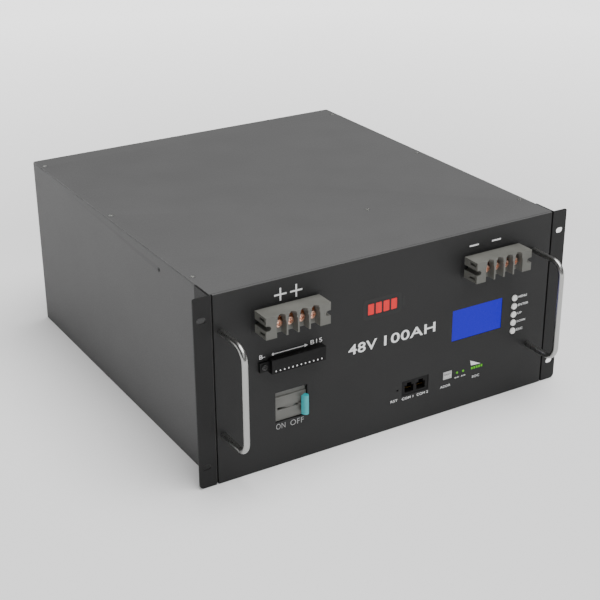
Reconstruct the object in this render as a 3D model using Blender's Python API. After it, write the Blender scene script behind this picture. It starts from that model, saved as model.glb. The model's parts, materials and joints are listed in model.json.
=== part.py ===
"""Rack-mounted lithium battery pack, five rack units high, with a folded steel case.

Metres, +Z up, +X to the right as seen from the front, +Y towards the back. The origin is
under the middle of the pack, on the surface that it stands on. "Depth" is the distance
behind the face of the front panel, so a negative depth stands out in front of the panel.
"""

import math

import bmesh
import bpy
from mathutils import Vector

# ---------------------------------------------------------------- clearances
FIT = 0.0003                    # gap between two pieces that touch
SLIDE_GAP = 0.0004              # round a button or slider that moves
CUT = 0.001                     # how far a cutter runs past the surface it opens

# ---------------------------------------------------------------- case
PANEL_WIDTH = 0.4826            # over both rack ears: the 19 inch standard
PANEL_HEIGHT = 0.2190           # five rack units, less the play that lets it slide in
PANEL_THICKNESS = 0.0030
EAR_WIDTH = 0.0200              # front flange of an ear
EAR_SHEET = 0.0020
EAR_DEPTH = 0.0320              # side flange of an ear, along the case
SEAM = 0.0020                   # open gap between the front panel and an ear
SHEET = 0.0015                  # folded case and cover
FLANGE = 0.0140                 # inward flanges of the case
GROUND_GAP = 0.0004             # the panel and the ears end just above the floor
EAR_TOP_RADIUS = 0.0020
EAR_FOOT_RADIUS = 0.0050

# ---------------------------------------------------------------- rack slots
SLOT_INSET = 0.00875            # from an ear's outer edge: 465.1 mm across a 19 inch rack
SLOT_SPACING_Z = 0.1690
SLOT_LENGTH = 0.0103
SLOT_HEIGHT = 0.0068

# ---------------------------------------------------------------- cells
CELL_THICKNESS = 0.0670
CELL_SIDE_SPACE = 0.0045        # from the outer cells to the case's sides
CELL_HEADROOM = 0.0212          # from the cells' tops to the cover's top
CELL_GAP = 0.0015               # between two cells of a stack
CELL_GROOVE = 0.0030            # how deep the gap shows before the cells are banded together
STACK_GAP = 0.0020              # between two stacks
CELLS_PER_STACK = 5
STACK_COUNT = 3
POST_RADIUS = 0.0080
POST_HEIGHT = 0.0040
POST_SPACING = 0.0900
CARRIER_SHEET = 0.0015
LINK_WIDTH = 0.0180
LINK_THICKNESS = 0.0025

# ---------------------------------------------------------------- cross plate behind the electronics
BAY_DEPTH = 0.1105              # from the panel's face to the cross plate
CROSS_SHEET = 0.0020
CROSS_FLANGE = 0.0160
CROSS_SCREW_DEPTH = 0.0090      # screws into the flange, behind the plate's front face
CROSS_SCREW_X = 0.0450
CROSS_SCREW_DROP = 0.0157
END_SPACE = 0.0165              # free space at each end of the cells
NOTCH_WIDTH = 0.0300            # where a lead crosses the plate
NOTCH_HEIGHT = 0.0200

# ---------------------------------------------------------------- screws of the case
SCREW_RADIUS = 0.0015
SCREW_HEAD_RADIUS = 0.0030
SCREW_HEAD_HEIGHT = 0.0013
SCREW_LENGTH = 0.0065
COVER_SCREW_INSET = 0.0065
COVER_SCREW_FRONT = 0.0520      # depth of the first pair
COVER_SCREW_REAR = 0.0250       # last pair, in front of the back
COVER_CORNER = 0.0015           # round rear corners of the cover

# ---------------------------------------------------------------- handles
HANDLE_ROD = 0.0066
HANDLE_STAND = 0.0500           # panel face to the middle of the grip
HANDLE_SPACING = 0.1200
HANDLE_BEND = 0.0160
HANDLE_DROP = 0.1012            # panel top to the middle of the grip
HANDLE_LEFT_INSET = 0.0095      # from the case's side to the middle of the rod
HANDLE_RIGHT_INSET = 0.0267
HANDLE_STUD = 0.0050
HANDLE_STUD_LENGTH = 0.0090

# ---------------------------------------------------------------- terminal blocks
TERMINAL_X = 0.1335
TERMINAL_DROP = 0.0402
BLOCK_WIDTH = 0.0770
BLOCK_HEIGHT = 0.0245
BLOCK_DEPTH = 0.0230
BAY_COUNT = 4
BAY_PITCH = 0.0134
RIB = 0.0020
BLOCK_FLOOR = 0.0125            # base of the block behind its bays
BAY_CEILING = 0.0040
BAY_SLOPE = math.radians(30)    # of the scallop that opens each bay's top to the front
SCALLOP_WALL = 0.0008           # scallop narrower than its bay, on each side
NOTCH_DEPTH = 0.0060            # open screw notch in each end
END_GROOVE_DEPTH = 0.0030
END_GROOVE_HEIGHT = 0.0030
END_GROOVE_Z = 0.0080
CONTACT_HEIGHT = 0.0120
CONTACT_THICKNESS = 0.0022
TAIL_WIDTH = 0.0160
TAIL_HEIGHT = 0.0100
TAIL_REACH = 0.0220             # depth of the tail's end behind the panel's face
TERMINAL_HEAD_RADIUS = 0.0042
TERMINAL_HEAD_HEIGHT = 0.0030
TERMINAL_SHANK_RADIUS = 0.0022
TERMINAL_HEAD_DOME = 0.0007
LUG_SPACE = 0.0022              # between a bar and its screw heads, for a cable lug

# ---------------------------------------------------------------- balance connector
BALANCE_X = -0.1242
BALANCE_DROP = 0.0940
BALANCE_WAYS = 12
BALANCE_PITCH = 0.00508
BALANCE_END_WALLS = 0.0050      # both ends together, outside the ways
BALANCE_BODY_HEIGHT = 0.0160
BALANCE_STAND = 0.0083
BALANCE_EAR = 0.0115
BALANCE_EAR_HEIGHT = 0.0110
BALANCE_EAR_THICKNESS = 0.0030
BALANCE_TAIL_HEIGHT = 0.0100
BALANCE_TAIL_REACH = 0.0140
BALANCE_HOLE_RADIUS = 0.0013
BALANCE_HOLE_DEPTH = 0.0030
BALANCE_HOLE_RISE = 0.0026      # above the body's foot

# ---------------------------------------------------------------- breaker
BREAKER_X = -0.1293
BREAKER_Z = 0.0710
BREAKER_WIDTH = 0.0820
BREAKER_HEIGHT = 0.0360
BREAKER_REAR = 0.0720
BREAKER_SHOULDER = 0.0120
NOSE_WIDTH = 0.0386
NOSE_HEIGHT = 0.0350
NOSE_RECESS = 0.0020
NOSE_STEP_HEIGHT = 0.0065
NOSE_STEP_DEPTH = 0.0015
NOSE_WALL = 0.0029              # nose left standing at each end of the lever's slot
OPENING_PLAY = 0.0005
LEVER_PIVOT_DEPTH = 0.0265
LEVER_SECTOR_RADIUS = 0.0240
LEVER_TIP_RADIUS = 0.0375
LEVER_PADDLE_INNER = 0.0307
LEVER_PADDLE_WIDTH = 0.0070
LEVER_PADDLE_HEIGHT = 0.0225
LEVER_PLATE = 0.0022
LEVER_STEM = 0.0044
LEVER_HUB_RADIUS = 0.0060
LEVER_PIN_RADIUS = 0.0017
LEVER_PIN_LENGTH = 0.0160
LEVER_REST = math.radians(26.5)  # to the right of straight out: off
LEVER_SECTOR = math.radians(66)
LEVER_SLOT_PLAY = 0.0003
WIRE_HOLE_RADIUS = 0.0052
WIRE_HOLE_DEPTH = 0.0080
WIRE_HOLE_BACK = 0.0450         # depth of the wire holes behind the panel's face

# ---------------------------------------------------------------- display and menu keys
DISPLAY_X = 0.1180
DISPLAY_DROP = 0.1110
DISPLAY_WIDTH = 0.0710
DISPLAY_HEIGHT = 0.0384
WINDOW_RECESS = 0.0004
WINDOW_FLANGE = 0.0028
WINDOW_FLANGE_THICKNESS = 0.0015
MODULE_WIDTH = 0.0900
MODULE_HEIGHT = 0.0610
BOARD_DEPTH = 0.0180            # front face of the boards behind the panel
BOARD_THICKNESS = 0.0016
KEY_COUNT = 5
KEY_X = 0.1713
KEY_DROP = 0.1173               # panel top to the middle key
KEY_PITCH = 0.0105
KEY_RADIUS = 0.0038
KEY_STAND = 0.0015
KEY_FLANGE_RADIUS = 0.0047
KEY_FLANGE_THICKNESS = 0.0012
KEY_STEM_RADIUS = 0.0015
KEY_TRAVEL = 0.0010
KEY_EDGE = 0.0004
SWITCH_SIZE = 0.0060
SWITCH_HEIGHT = 0.0050
BOARD_MARGIN = 0.0080

# ---------------------------------------------------------------- communication row
ROW_Z = 0.0470
RESET_X = 0.0088
RESET_HOLE_RADIUS = 0.0012
RESET_RADIUS = 0.0016
RESET_FRONT = 0.0045
SOCKET_X = 0.0332
SOCKET_WIDTH = 0.0362
SOCKET_HEIGHT = 0.0180
SOCKET_RECESS = 0.0004
JACK_WIDTH = 0.0118
JACK_HEIGHT = 0.0088
JACK_DEPTH = 0.0125
JACK_PITCH = 0.0160
JACK_LATCH_WIDTH = 0.0062
JACK_LATCH_HEIGHT = 0.0032
JACK_DROP = 0.0015
DIP_X = 0.0792
DIP_WIDTH = 0.0126
DIP_HEIGHT = 0.0100
DIP_RECESS = 0.0008
DIP_WAYS = 4
DIP_PITCH = 0.00254
DIP_SLIDER_WIDTH = 0.0010
DIP_SLIDER_HEIGHT = 0.0014
DIP_SLIDER_FRONT = 0.0003
DIP_SLIDER_LENGTH = 0.0022
DIP_TRAVEL = 0.0022
STATUS_XS = (0.0925, 0.1012)
STATUS_RADIUS = 0.0013
CHARGE_X = 0.1210
CHARGE_COUNT = 5
CHARGE_PITCH = 0.0035
CHARGE_WIDTH = 0.0020
CHARGE_HEIGHT = 0.0028
GUIDE_RAIL_DEPTH = 0.0022
GUIDE_REAR = 0.0160
GUIDE_STAND = 0.0002
LED_THICKNESS = 0.0012

# ---------------------------------------------------------------- inside the electronics bay
BMS_WIDTH = 0.2400
BMS_HEIGHT = 0.1100
BMS_Z = 0.1150
BMS_DEPTH = 0.1000
BMS_RAIL = 0.0120
FUSE_BLADE_WIDTH = 0.0140
FUSE_BLADE_THICKNESS = 0.0020
FUSE_BODY_WIDTH = 0.0200
FUSE_BODY_HEIGHT = 0.0080
FUSE_BODY_LENGTH = 0.0240
FUSE_REACH = 0.0240             # of the front blade before the cross plate
LEAD_RADIUS = 0.0040
LEAD_ASIDE = 0.0160             # how far a lead stands off to the side of what it passes
LEAD_STRAIGHT = 0.0160          # straight run out of a terminal
LEAD_DROP = 0.0300              # fall from the fuse before the lead turns
LEAD_LANE = 0.0050              # between the planes of two leads that pass each other
LEAD_TURN = 0.0120              # straight run out of the board, and over the notch
BOARD_LEAD_DROP = 0.0040        # of the lead's end below the board's upper edge
BOARD_LEAD_RISE = 0.0500        # from the board's middle to the lead's bend
LEAD_LANDING = 0.0450           # behind the cross plate's face, where the lead lies flat

# ---------------------------------------------------------------- worked out from the above
CASE_WIDTH = PANEL_WIDTH - 2 * (EAR_WIDTH + FIT)
STACK_LENGTH = CELLS_PER_STACK * CELL_THICKNESS + (CELLS_PER_STACK - 1) * CELL_GAP
CELL_START = BAY_DEPTH + CROSS_SHEET + END_SPACE
CASE_DEPTH = CELL_START + STACK_LENGTH + END_SPACE + SHEET
HANDLE_OUT = HANDLE_STAND + HANDLE_ROD / 2
FACE_Y = (HANDLE_OUT - CASE_DEPTH) / 2
CASE_FRONT = PANEL_THICKNESS + FIT
CASE_TOP = PANEL_HEIGHT - SHEET - FIT
INNER_X = CASE_WIDTH / 2 - SHEET
SLOT_SPACING_X = PANEL_WIDTH - 2 * SLOT_INSET
HANDLE_LEFT_X = HANDLE_LEFT_INSET - CASE_WIDTH / 2
HANDLE_RIGHT_X = CASE_WIDTH / 2 - HANDLE_RIGHT_INSET
FLOOR_Z = SHEET + FIT
CELL_PITCH = CELL_THICKNESS + CELL_GAP
CELL_WIDTH = (2 * (INNER_X - CELL_SIDE_SPACE) - (STACK_COUNT - 1) * STACK_GAP) / STACK_COUNT
CELL_TOP = PANEL_HEIGHT - CELL_HEADROOM
CARRIER_Z = CELL_TOP + POST_HEIGHT + FIT
LINK_TOP = CARRIER_Z + CARRIER_SHEET + LINK_THICKNESS
STACK_PITCH = CELL_WIDTH + STACK_GAP
TERMINAL_Z = PANEL_HEIGHT - TERMINAL_DROP
BALANCE_Z = PANEL_HEIGHT - BALANCE_DROP
DISPLAY_Z = PANEL_HEIGHT - DISPLAY_DROP
KEY_Z = PANEL_HEIGHT - KEY_DROP
HANDLE_Z = PANEL_HEIGHT - HANDLE_DROP
LEVER_Z = BREAKER_Z - NOSE_STEP_HEIGHT / 2
SCREW_HOLE_RADIUS = SCREW_RADIUS + FIT
CROSS_SCREW_Y = BAY_DEPTH + CROSS_SCREW_DEPTH
OUTER_POST_X = STACK_PITCH * (STACK_COUNT - 1) / 2 + POST_SPACING / 2
BALANCE_BODY_WIDTH = BALANCE_WAYS * BALANCE_PITCH + BALANCE_END_WALLS
BALANCE_TAIL_WIDTH = BALANCE_WAYS * BALANCE_PITCH
LEVER_SLOT_HALF = NOSE_WIDTH / 2 - NOSE_WALL

# ---------------------------------------------------------------- finishes
FINISHES = {
    "case_paint": ((0.160, 0.160, 0.160), 0.55, 0.0),
    "panel_paint": ((0.045, 0.045, 0.045), 0.50, 0.0),
    "steel": ((0.620, 0.620, 0.610), 0.30, 1.0),
    "polished_steel": ((0.800, 0.800, 0.800), 0.12, 1.0),
    "terminal_plastic": ((0.190, 0.190, 0.180), 0.55, 0.0),
    "copper": ((0.780, 0.420, 0.280), 0.30, 1.0),
    "black_plastic": ((0.010, 0.010, 0.010), 0.45, 0.0),
    "breaker_plastic": ((0.140, 0.140, 0.130), 0.50, 0.0),
    "lever_plastic": ((0.160, 0.560, 0.580), 0.40, 0.0),
    "display_glass": ((0.010, 0.010, 0.900), 0.20, 0.0),
    "key_plastic": ((0.850, 0.850, 0.850), 0.40, 0.0),
    "switch_plastic": ((0.500, 0.500, 0.500), 0.50, 0.0),
    "light_guide": ((0.300, 0.900, 0.200), 0.25, 0.0),
    "circuit_board": ((0.020, 0.180, 0.060), 0.50, 0.0),
    "cell_plastic": ((0.030, 0.090, 0.260), 0.50, 0.0),
    "carrier_plastic": ((0.600, 0.160, 0.040), 0.50, 0.0),
    "fuse_ceramic": ((0.800, 0.780, 0.720), 0.60, 0.0),
    "red_cable": ((0.500, 0.020, 0.020), 0.50, 0.0),
    "black_cable": ((0.015, 0.015, 0.015), 0.50, 0.0),
}


def clear_scene():
    """Remove every object that is already in the scene."""
    for old in list(bpy.data.objects):
        bpy.data.objects.remove(old, do_unlink=True)


def make_finishes():
    """Make one Principled material for each finish."""
    materials = {}
    for name, (colour, roughness, metallic) in FINISHES.items():
        material = bpy.data.materials.new(name)
        material.use_nodes = True
        shader = material.node_tree.nodes["Principled BSDF"]
        shader.inputs["Base Color"].default_value = (*colour, 1.0)
        shader.inputs["Roughness"].default_value = roughness
        shader.inputs["Metallic"].default_value = metallic
        material.diffuse_color = (*colour, 1.0)
        materials[name] = material
    return materials


def behind(depth):
    """The y of a depth behind the front panel's face."""
    return FACE_Y + depth


# ---------------------------------------------------------------- shapes

def add_box(bm, x, depth, z):
    """A box between two x values, two depths and two heights."""
    corners = [bm.verts.new((px, behind(pd), pz)) for pz in z for pd in depth for px in x]
    for face in ((0, 2, 3, 1), (4, 5, 7, 6), (0, 1, 5, 4), (2, 6, 7, 3), (0, 4, 6, 2), (1, 3, 7, 5)):
        bm.faces.new([corners[index] for index in face])


def add_block(bm, x, z, width, height, depth):
    """A box given by its middle and size in the panel's plane, and two depths."""
    add_box(bm, (x - width / 2, x + width / 2), depth, (z - height / 2, z + height / 2))


def add_prism(bm, outline, to_point, low, high):
    """A closed outline carried from one level to another; to_point places (a, b, level)."""
    bottom = [bm.verts.new(to_point(a, b, low)) for a, b in outline]
    top = [bm.verts.new(to_point(a, b, high)) for a, b in outline]
    bm.faces.new(list(reversed(bottom)))
    bm.faces.new(top)
    count = len(outline)
    for index in range(count):
        after = (index + 1) % count
        bm.faces.new((bottom[index], bottom[after], top[after], top[index]))


def facing(a, b, level):
    """Outline in the panel's plane, levels in depth."""
    return (a, behind(level), b)


def upright(a, b, level):
    """Outline seen from above as x and depth, levels in height."""
    return (a, behind(b), level)


def sideways(a, b, level):
    """Outline seen from the side as depth and height, levels in x."""
    return (level, behind(a), b)


def arc(centre, radius, start, end, steps):
    """Points of a circular arc, both ends included; angles in radians."""
    turn = (end - start) / steps
    return [(centre[0] + radius * math.cos(start + turn * index),
             centre[1] + radius * math.sin(start + turn * index)) for index in range(steps + 1)]


def add_turned(bm, origin, direction, profile, segments):
    """A turned solid: profile lists (distance along the direction, radius), flat at both ends."""
    axis = Vector(direction).normalized()
    helper = Vector((0, 0, 1)) if abs(axis.z) < 0.9 else Vector((1, 0, 0))
    across = axis.cross(helper).normalized()
    over = axis.cross(across)
    rings = []
    for along, radius in profile:
        middle = Vector(origin) + axis * along
        ring = []
        for index in range(segments):
            angle = 2 * math.pi * index / segments
            spoke = across * math.cos(angle) + over * math.sin(angle)
            ring.append(bm.verts.new(middle + spoke * radius))
        rings.append(ring)
    for near, far in zip(rings, rings[1:]):
        for index in range(segments):
            after = (index + 1) % segments
            bm.faces.new((near[index], near[after], far[after], far[index]))
    bm.faces.new(rings[0])
    bm.faces.new(list(reversed(rings[-1])))


def add_rod(bm, x, z, radius, depth, segments=16):
    """A round rod or hole tool that runs straight back through the panel."""
    profile = [(0, radius), (depth[1] - depth[0], radius)]
    add_turned(bm, (x, behind(depth[0]), z), (0, 1, 0), profile, segments)


def add_tube(bm, path, sides):
    """A round bar carried along points given as (point, radius), flat at both ends."""
    points = [Vector(point) for point, _ in path]
    reach = len(points) - 1
    spoke = None
    rings = []
    for index, (_, radius) in enumerate(path):
        before = points[max(index - 1, 0)]
        after = points[min(index + 1, reach)]
        tangent = (after - before).normalized()
        if spoke is None:
            helper = Vector((1, 0, 0)) if abs(tangent.x) < 0.9 else Vector((0, 0, 1))
            spoke = tangent.cross(helper)
        spoke = (spoke - tangent * spoke.dot(tangent)).normalized()
        other = tangent.cross(spoke)
        ring = []
        for side in range(sides):
            angle = 2 * math.pi * side / sides
            offset = spoke * math.cos(angle) + other * math.sin(angle)
            ring.append(bm.verts.new(points[index] + offset * radius))
        rings.append(ring)
    for near, far in zip(rings, rings[1:]):
        for side in range(sides):
            after = (side + 1) % sides
            bm.faces.new((near[side], near[after], far[after], far[side]))
    bm.faces.new(rings[0])
    bm.faces.new(list(reversed(rings[-1])))


def smooth_route(points, steps):
    """Closely spaced points along a Catmull-Rom curve; the first and last stretch stay straight."""
    knots = [Vector(point) for point in points]
    route = [knots[0]]
    for index in range(1, len(knots) - 2):
        p0, p1, p2, p3 = knots[index - 1:index + 3]
        for step in range(steps):
            t = step / steps
            route.append(0.5 * (2 * p1 + (p2 - p0) * t + (2 * p0 - 5 * p1 + 4 * p2 - p3) * t * t
                                + (3 * p1 - p0 - 3 * p2 + p3) * t * t * t))
    return route + knots[-2:]


# ---------------------------------------------------------------- objects

def link_mesh(name, bm):
    """Turn a bmesh into an object of the scene, with its faces pointing out."""
    bmesh.ops.recalc_face_normals(bm, faces=bm.faces)
    mesh = bpy.data.meshes.new(name)
    bm.to_mesh(mesh)
    bm.free()
    made = bpy.data.objects.new(name, mesh)
    bpy.context.scene.collection.objects.link(made)
    return made


def make_part(name, finish, build, round_piece=False):
    """One sub-part: build fills a bmesh, and the finish names its material."""
    bm = bmesh.new()
    build(bm)
    part = link_mesh(name, bm)
    part.data.materials.append(MATERIALS[finish])
    if round_piece:
        part.data.shade_smooth()
        part.data.set_sharp_from_angle(angle=math.radians(35))
    return part


def shape_with(part, operation, build):
    """Cut a part with a tool, or join the tool to it, by a Boolean modifier."""
    bm = bmesh.new()
    build(bm)
    tool = link_mesh(part.name + "_" + operation.lower() + "_tool", bm)
    tool.hide_render = True
    tool.display_type = "WIRE"
    modifier = part.modifiers.new(operation.title(), "BOOLEAN")
    modifier.operation = operation
    modifier.solver = "EXACT"
    modifier.object = tool


def cut(part, build):
    shape_with(part, "DIFFERENCE", build)


def join(part, build):
    shape_with(part, "UNION", build)


# ---------------------------------------------------------------- case screws

def cover_screw_places():
    """Every screw in the cover as (x, depth): three along each side and one into the cross plate."""
    side = CASE_WIDTH / 2 - COVER_SCREW_INSET
    rear = CASE_DEPTH - COVER_SCREW_REAR
    depths = (COVER_SCREW_FRONT, (COVER_SCREW_FRONT + rear) / 2, rear)
    places = [(sign * side, depth) for sign in (-1, 1) for depth in depths]
    return places + [(CROSS_SCREW_X, CROSS_SCREW_Y)]


def side_screw_point(sign):
    return (sign * CASE_WIDTH / 2, behind(CROSS_SCREW_Y), PANEL_HEIGHT - CROSS_SCREW_DROP)


def make_case_screw(name, point, inward):
    """A countersunk screw with its head flush at a point of the sheet's outer face."""
    profile = [(0, SCREW_HEAD_RADIUS), (SCREW_HEAD_HEIGHT, SCREW_RADIUS), (SCREW_LENGTH, SCREW_RADIUS)]
    make_part(name, "steel", lambda bm: add_turned(bm, point, inward, profile, 12), round_piece=True)


def screw_hole(reach):
    """The profile of a plain hole for a case screw."""
    return [(0, SCREW_HOLE_RADIUS), (reach, SCREW_HOLE_RADIUS)]


def add_screw_seat(bm, point, inward, reach):
    """The countersunk hole that a case screw sits in, cut to a reach below the outer face."""
    wide = SCREW_HEAD_RADIUS + FIT
    slope = (SCREW_HEAD_RADIUS - SCREW_RADIUS) / SCREW_HEAD_HEIGHT
    mouth = wide + CUT * slope
    cone = SCREW_HEAD_HEIGHT
    profile = [(-CUT, mouth), (cone, SCREW_HOLE_RADIUS), (reach, SCREW_HOLE_RADIUS)]
    add_turned(bm, point, inward, profile, 12)


def make_case_screws():
    for number, (x, depth) in enumerate(cover_screw_places(), start=1):
        make_case_screw("cover_screw_%d" % number, (x, behind(depth), PANEL_HEIGHT), (0, 0, -1))
    for side, sign in (("left", -1), ("right", 1)):
        make_case_screw("side_screw_" + side, side_screw_point(sign), (-sign, 0, 0))


# ---------------------------------------------------------------- folded case

def make_case():
    """The case: floor, sides, back and inward flanges, folded from one sheet and open at the top."""
    half = CASE_WIDTH / 2
    tray = make_part("case_tray", "case_paint",
                     lambda bm: add_box(bm, (-half, half), (CASE_FRONT, CASE_DEPTH), (0, CASE_TOP)))
    front_inside = CASE_FRONT + SHEET
    opening = half - FLANGE

    def hollow(bm):
        add_box(bm, (-INNER_X, INNER_X), (front_inside, CASE_DEPTH - SHEET), (SHEET, CASE_TOP - SHEET))

    def openings(bm):
        add_box(bm, (-opening, opening), (front_inside + CUT, CASE_DEPTH - FLANGE),
                (CASE_TOP / 2, CASE_TOP + CUT))

    def front_opening(bm):
        add_box(bm, (-opening, opening), (CASE_FRONT - CUT, front_inside + 2 * CUT),
                (FLANGE, CASE_TOP + CUT))

    def holes(bm):
        for x, depth in cover_screw_places()[:-1]:
            top = (x, behind(depth), CASE_TOP + CUT)
            add_turned(bm, top, (0, 0, -1), screw_hole(SHEET + 2 * CUT), 12)
        for sign in (-1, 1):
            add_screw_seat(bm, side_screw_point(sign), (-sign, 0, 0), SHEET + CUT)
        for z in handle_foot_heights():
            add_rod(bm, HANDLE_LEFT_X, z, HANDLE_STUD / 2 + FIT, (CASE_FRONT - CUT, front_inside + CUT), 12)

    for tool in (hollow, openings, front_opening, holes):
        cut(tray, tool)


def make_cover():
    """The flat lid, which rests on the case's flanges."""
    half = CASE_WIDTH / 2
    front = CASE_FRONT + FIT
    corner = COVER_CORNER
    outline = (arc((half - corner, CASE_DEPTH - corner), corner, 0, math.pi / 2, 3)
               + arc((corner - half, CASE_DEPTH - corner), corner, math.pi / 2, math.pi, 3)
               + [(-half, front), (half, front)])
    cover = make_part("top_cover", "case_paint",
                      lambda bm: add_prism(bm, outline, upright, PANEL_HEIGHT - SHEET, PANEL_HEIGHT))

    def seats(bm):
        for x, depth in cover_screw_places():
            add_screw_seat(bm, (x, behind(depth), PANEL_HEIGHT), (0, 0, -1), SHEET + CUT)

    cut(cover, seats)


def make_cross_plate():
    """The folded plate that holds the cells back and carries the electronics."""
    wide = INNER_X - FIT
    narrow = CASE_WIDTH / 2 - FLANGE - FIT
    rear = BAY_DEPTH + CROSS_FLANGE
    under_flange = CASE_TOP - SHEET - FIT
    plate = make_part("cross_plate", "steel",
                      lambda bm: add_box(bm, (-wide, wide), (BAY_DEPTH, rear), (FLOOR_Z, under_flange)))

    def raised_middle(bm):
        add_box(bm, (-narrow, narrow), (BAY_DEPTH, rear), (under_flange - CUT, CASE_TOP))

    def back_hollow(bm):
        add_box(bm, (CROSS_SHEET - wide, wide - CROSS_SHEET), (BAY_DEPTH + CROSS_SHEET, rear + CUT),
                (FLOOR_Z - CUT, CASE_TOP - CROSS_SHEET))

    def holes(bm):
        top = (CROSS_SCREW_X, behind(CROSS_SCREW_Y), CASE_TOP + CUT)
        add_turned(bm, top, (0, 0, -1), screw_hole(CROSS_SHEET + 2 * CUT), 12)
        for sign in (-1, 1):
            x, y, z = side_screw_point(sign)
            reach = SHEET + CROSS_SHEET + 2 * CUT
            add_turned(bm, (x, y, z), (-sign, 0, 0), screw_hole(reach), 12)
            add_box(bm, (sign * OUTER_POST_X - NOTCH_WIDTH / 2, sign * OUTER_POST_X + NOTCH_WIDTH / 2),
                    (BAY_DEPTH - CUT, rear + CUT), (CASE_TOP - NOTCH_HEIGHT, CASE_TOP + CUT))

    join(plate, raised_middle)
    cut(plate, back_hollow)
    cut(plate, holes)


def make_ear(name, sign):
    """A rack ear: an angle bracket with two oblong slots, on the outside of the case."""
    inner = CASE_WIDTH / 2 + FIT
    outer = PANEL_WIDTH / 2
    foot = EAR_FOOT_RADIUS
    head = EAR_TOP_RADIUS
    outline = (arc((outer - foot, GROUND_GAP + foot), foot, -math.pi / 2, 0, 5)
               + arc((outer - head, PANEL_HEIGHT - head), head, 0, math.pi / 2, 3)
               + [(inner, PANEL_HEIGHT), (inner, GROUND_GAP)])
    outline = [(sign * x, z) for x, z in outline]
    ear = make_part(name, "panel_paint", lambda bm: add_prism(bm, outline, facing, 0, EAR_SHEET))

    def side_flange(bm):
        x = sorted((sign * inner, sign * (inner + EAR_SHEET)))
        add_box(bm, x, (EAR_SHEET / 2, EAR_DEPTH), (GROUND_GAP, PANEL_HEIGHT))

    def slots(bm):
        radius = SLOT_HEIGHT / 2
        straight = SLOT_LENGTH / 2 - radius
        for step in (-1, 1):
            x = sign * SLOT_SPACING_X / 2
            z = PANEL_HEIGHT / 2 + step * SLOT_SPACING_Z / 2
            slot = (arc((x + straight, z), radius, -math.pi / 2, math.pi / 2, 8)
                    + arc((x - straight, z), radius, math.pi / 2, 1.5 * math.pi, 8))
            add_prism(bm, slot, facing, -CUT, EAR_SHEET + CUT)

    join(ear, side_flange)
    cut(ear, slots)


# ---------------------------------------------------------------- handles

def handle_foot_heights():
    return (HANDLE_Z - HANDLE_SPACING / 2, HANDLE_Z + HANDLE_SPACING / 2)


def make_handle(name, x):
    """A bow handle: a round bar with two bends, turned down to a stud at each foot."""
    low, high = handle_foot_heights()
    rod = HANDLE_ROD / 2
    stud = HANDLE_STUD / 2
    bend_depth = HANDLE_BEND - HANDLE_STAND
    top_bend = arc((bend_depth, high - HANDLE_BEND), HANDLE_BEND, math.pi / 2, math.pi, 6)
    foot_bend = arc((bend_depth, low + HANDLE_BEND), HANDLE_BEND, math.pi, 1.5 * math.pi, 6)
    bar = [(-FIT, high)] + top_bend + foot_bend + [(-FIT, low)]
    path = [((x, behind(HANDLE_STUD_LENGTH), high), stud), ((x, behind(-FIT), high), stud)]
    path += [((x, behind(depth), z), rod) for depth, z in bar]
    path += [((x, behind(-FIT), low), stud), ((x, behind(HANDLE_STUD_LENGTH), low), stud)]
    make_part(name, "polished_steel", lambda bm: add_handle_tube(bm, path), round_piece=True)


def add_handle_tube(bm, path):
    """The handle's rings stay square to the bar, also where the bar steps down to a stud."""
    rings = []
    sides = 12
    for index, (point, radius) in enumerate(path):
        before = Vector(path[max(index - 1, 0)][0])
        after = Vector(path[min(index + 1, len(path) - 1)][0])
        tangent = (after - before).normalized()
        over = tangent.cross(Vector((1, 0, 0)))
        ring = []
        for side in range(sides):
            angle = 2 * math.pi * side / sides
            offset = Vector((math.cos(angle), 0, 0)) + over * math.sin(angle)
            ring.append(bm.verts.new(Vector(point) + offset * radius))
        rings.append(ring)
    for near, far in zip(rings, rings[1:]):
        for side in range(sides):
            after = (side + 1) % sides
            bm.faces.new((near[side], near[after], far[after], far[side]))
    bm.faces.new(rings[0])
    bm.faces.new(list(reversed(rings[-1])))


# ---------------------------------------------------------------- front panel

def key_heights():
    return [KEY_Z + KEY_PITCH * (step - (KEY_COUNT - 1) / 2) for step in reversed(range(KEY_COUNT))]


def charge_xs():
    return [CHARGE_X + CHARGE_PITCH * (step - (CHARGE_COUNT - 1) / 2) for step in range(CHARGE_COUNT)]


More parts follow.
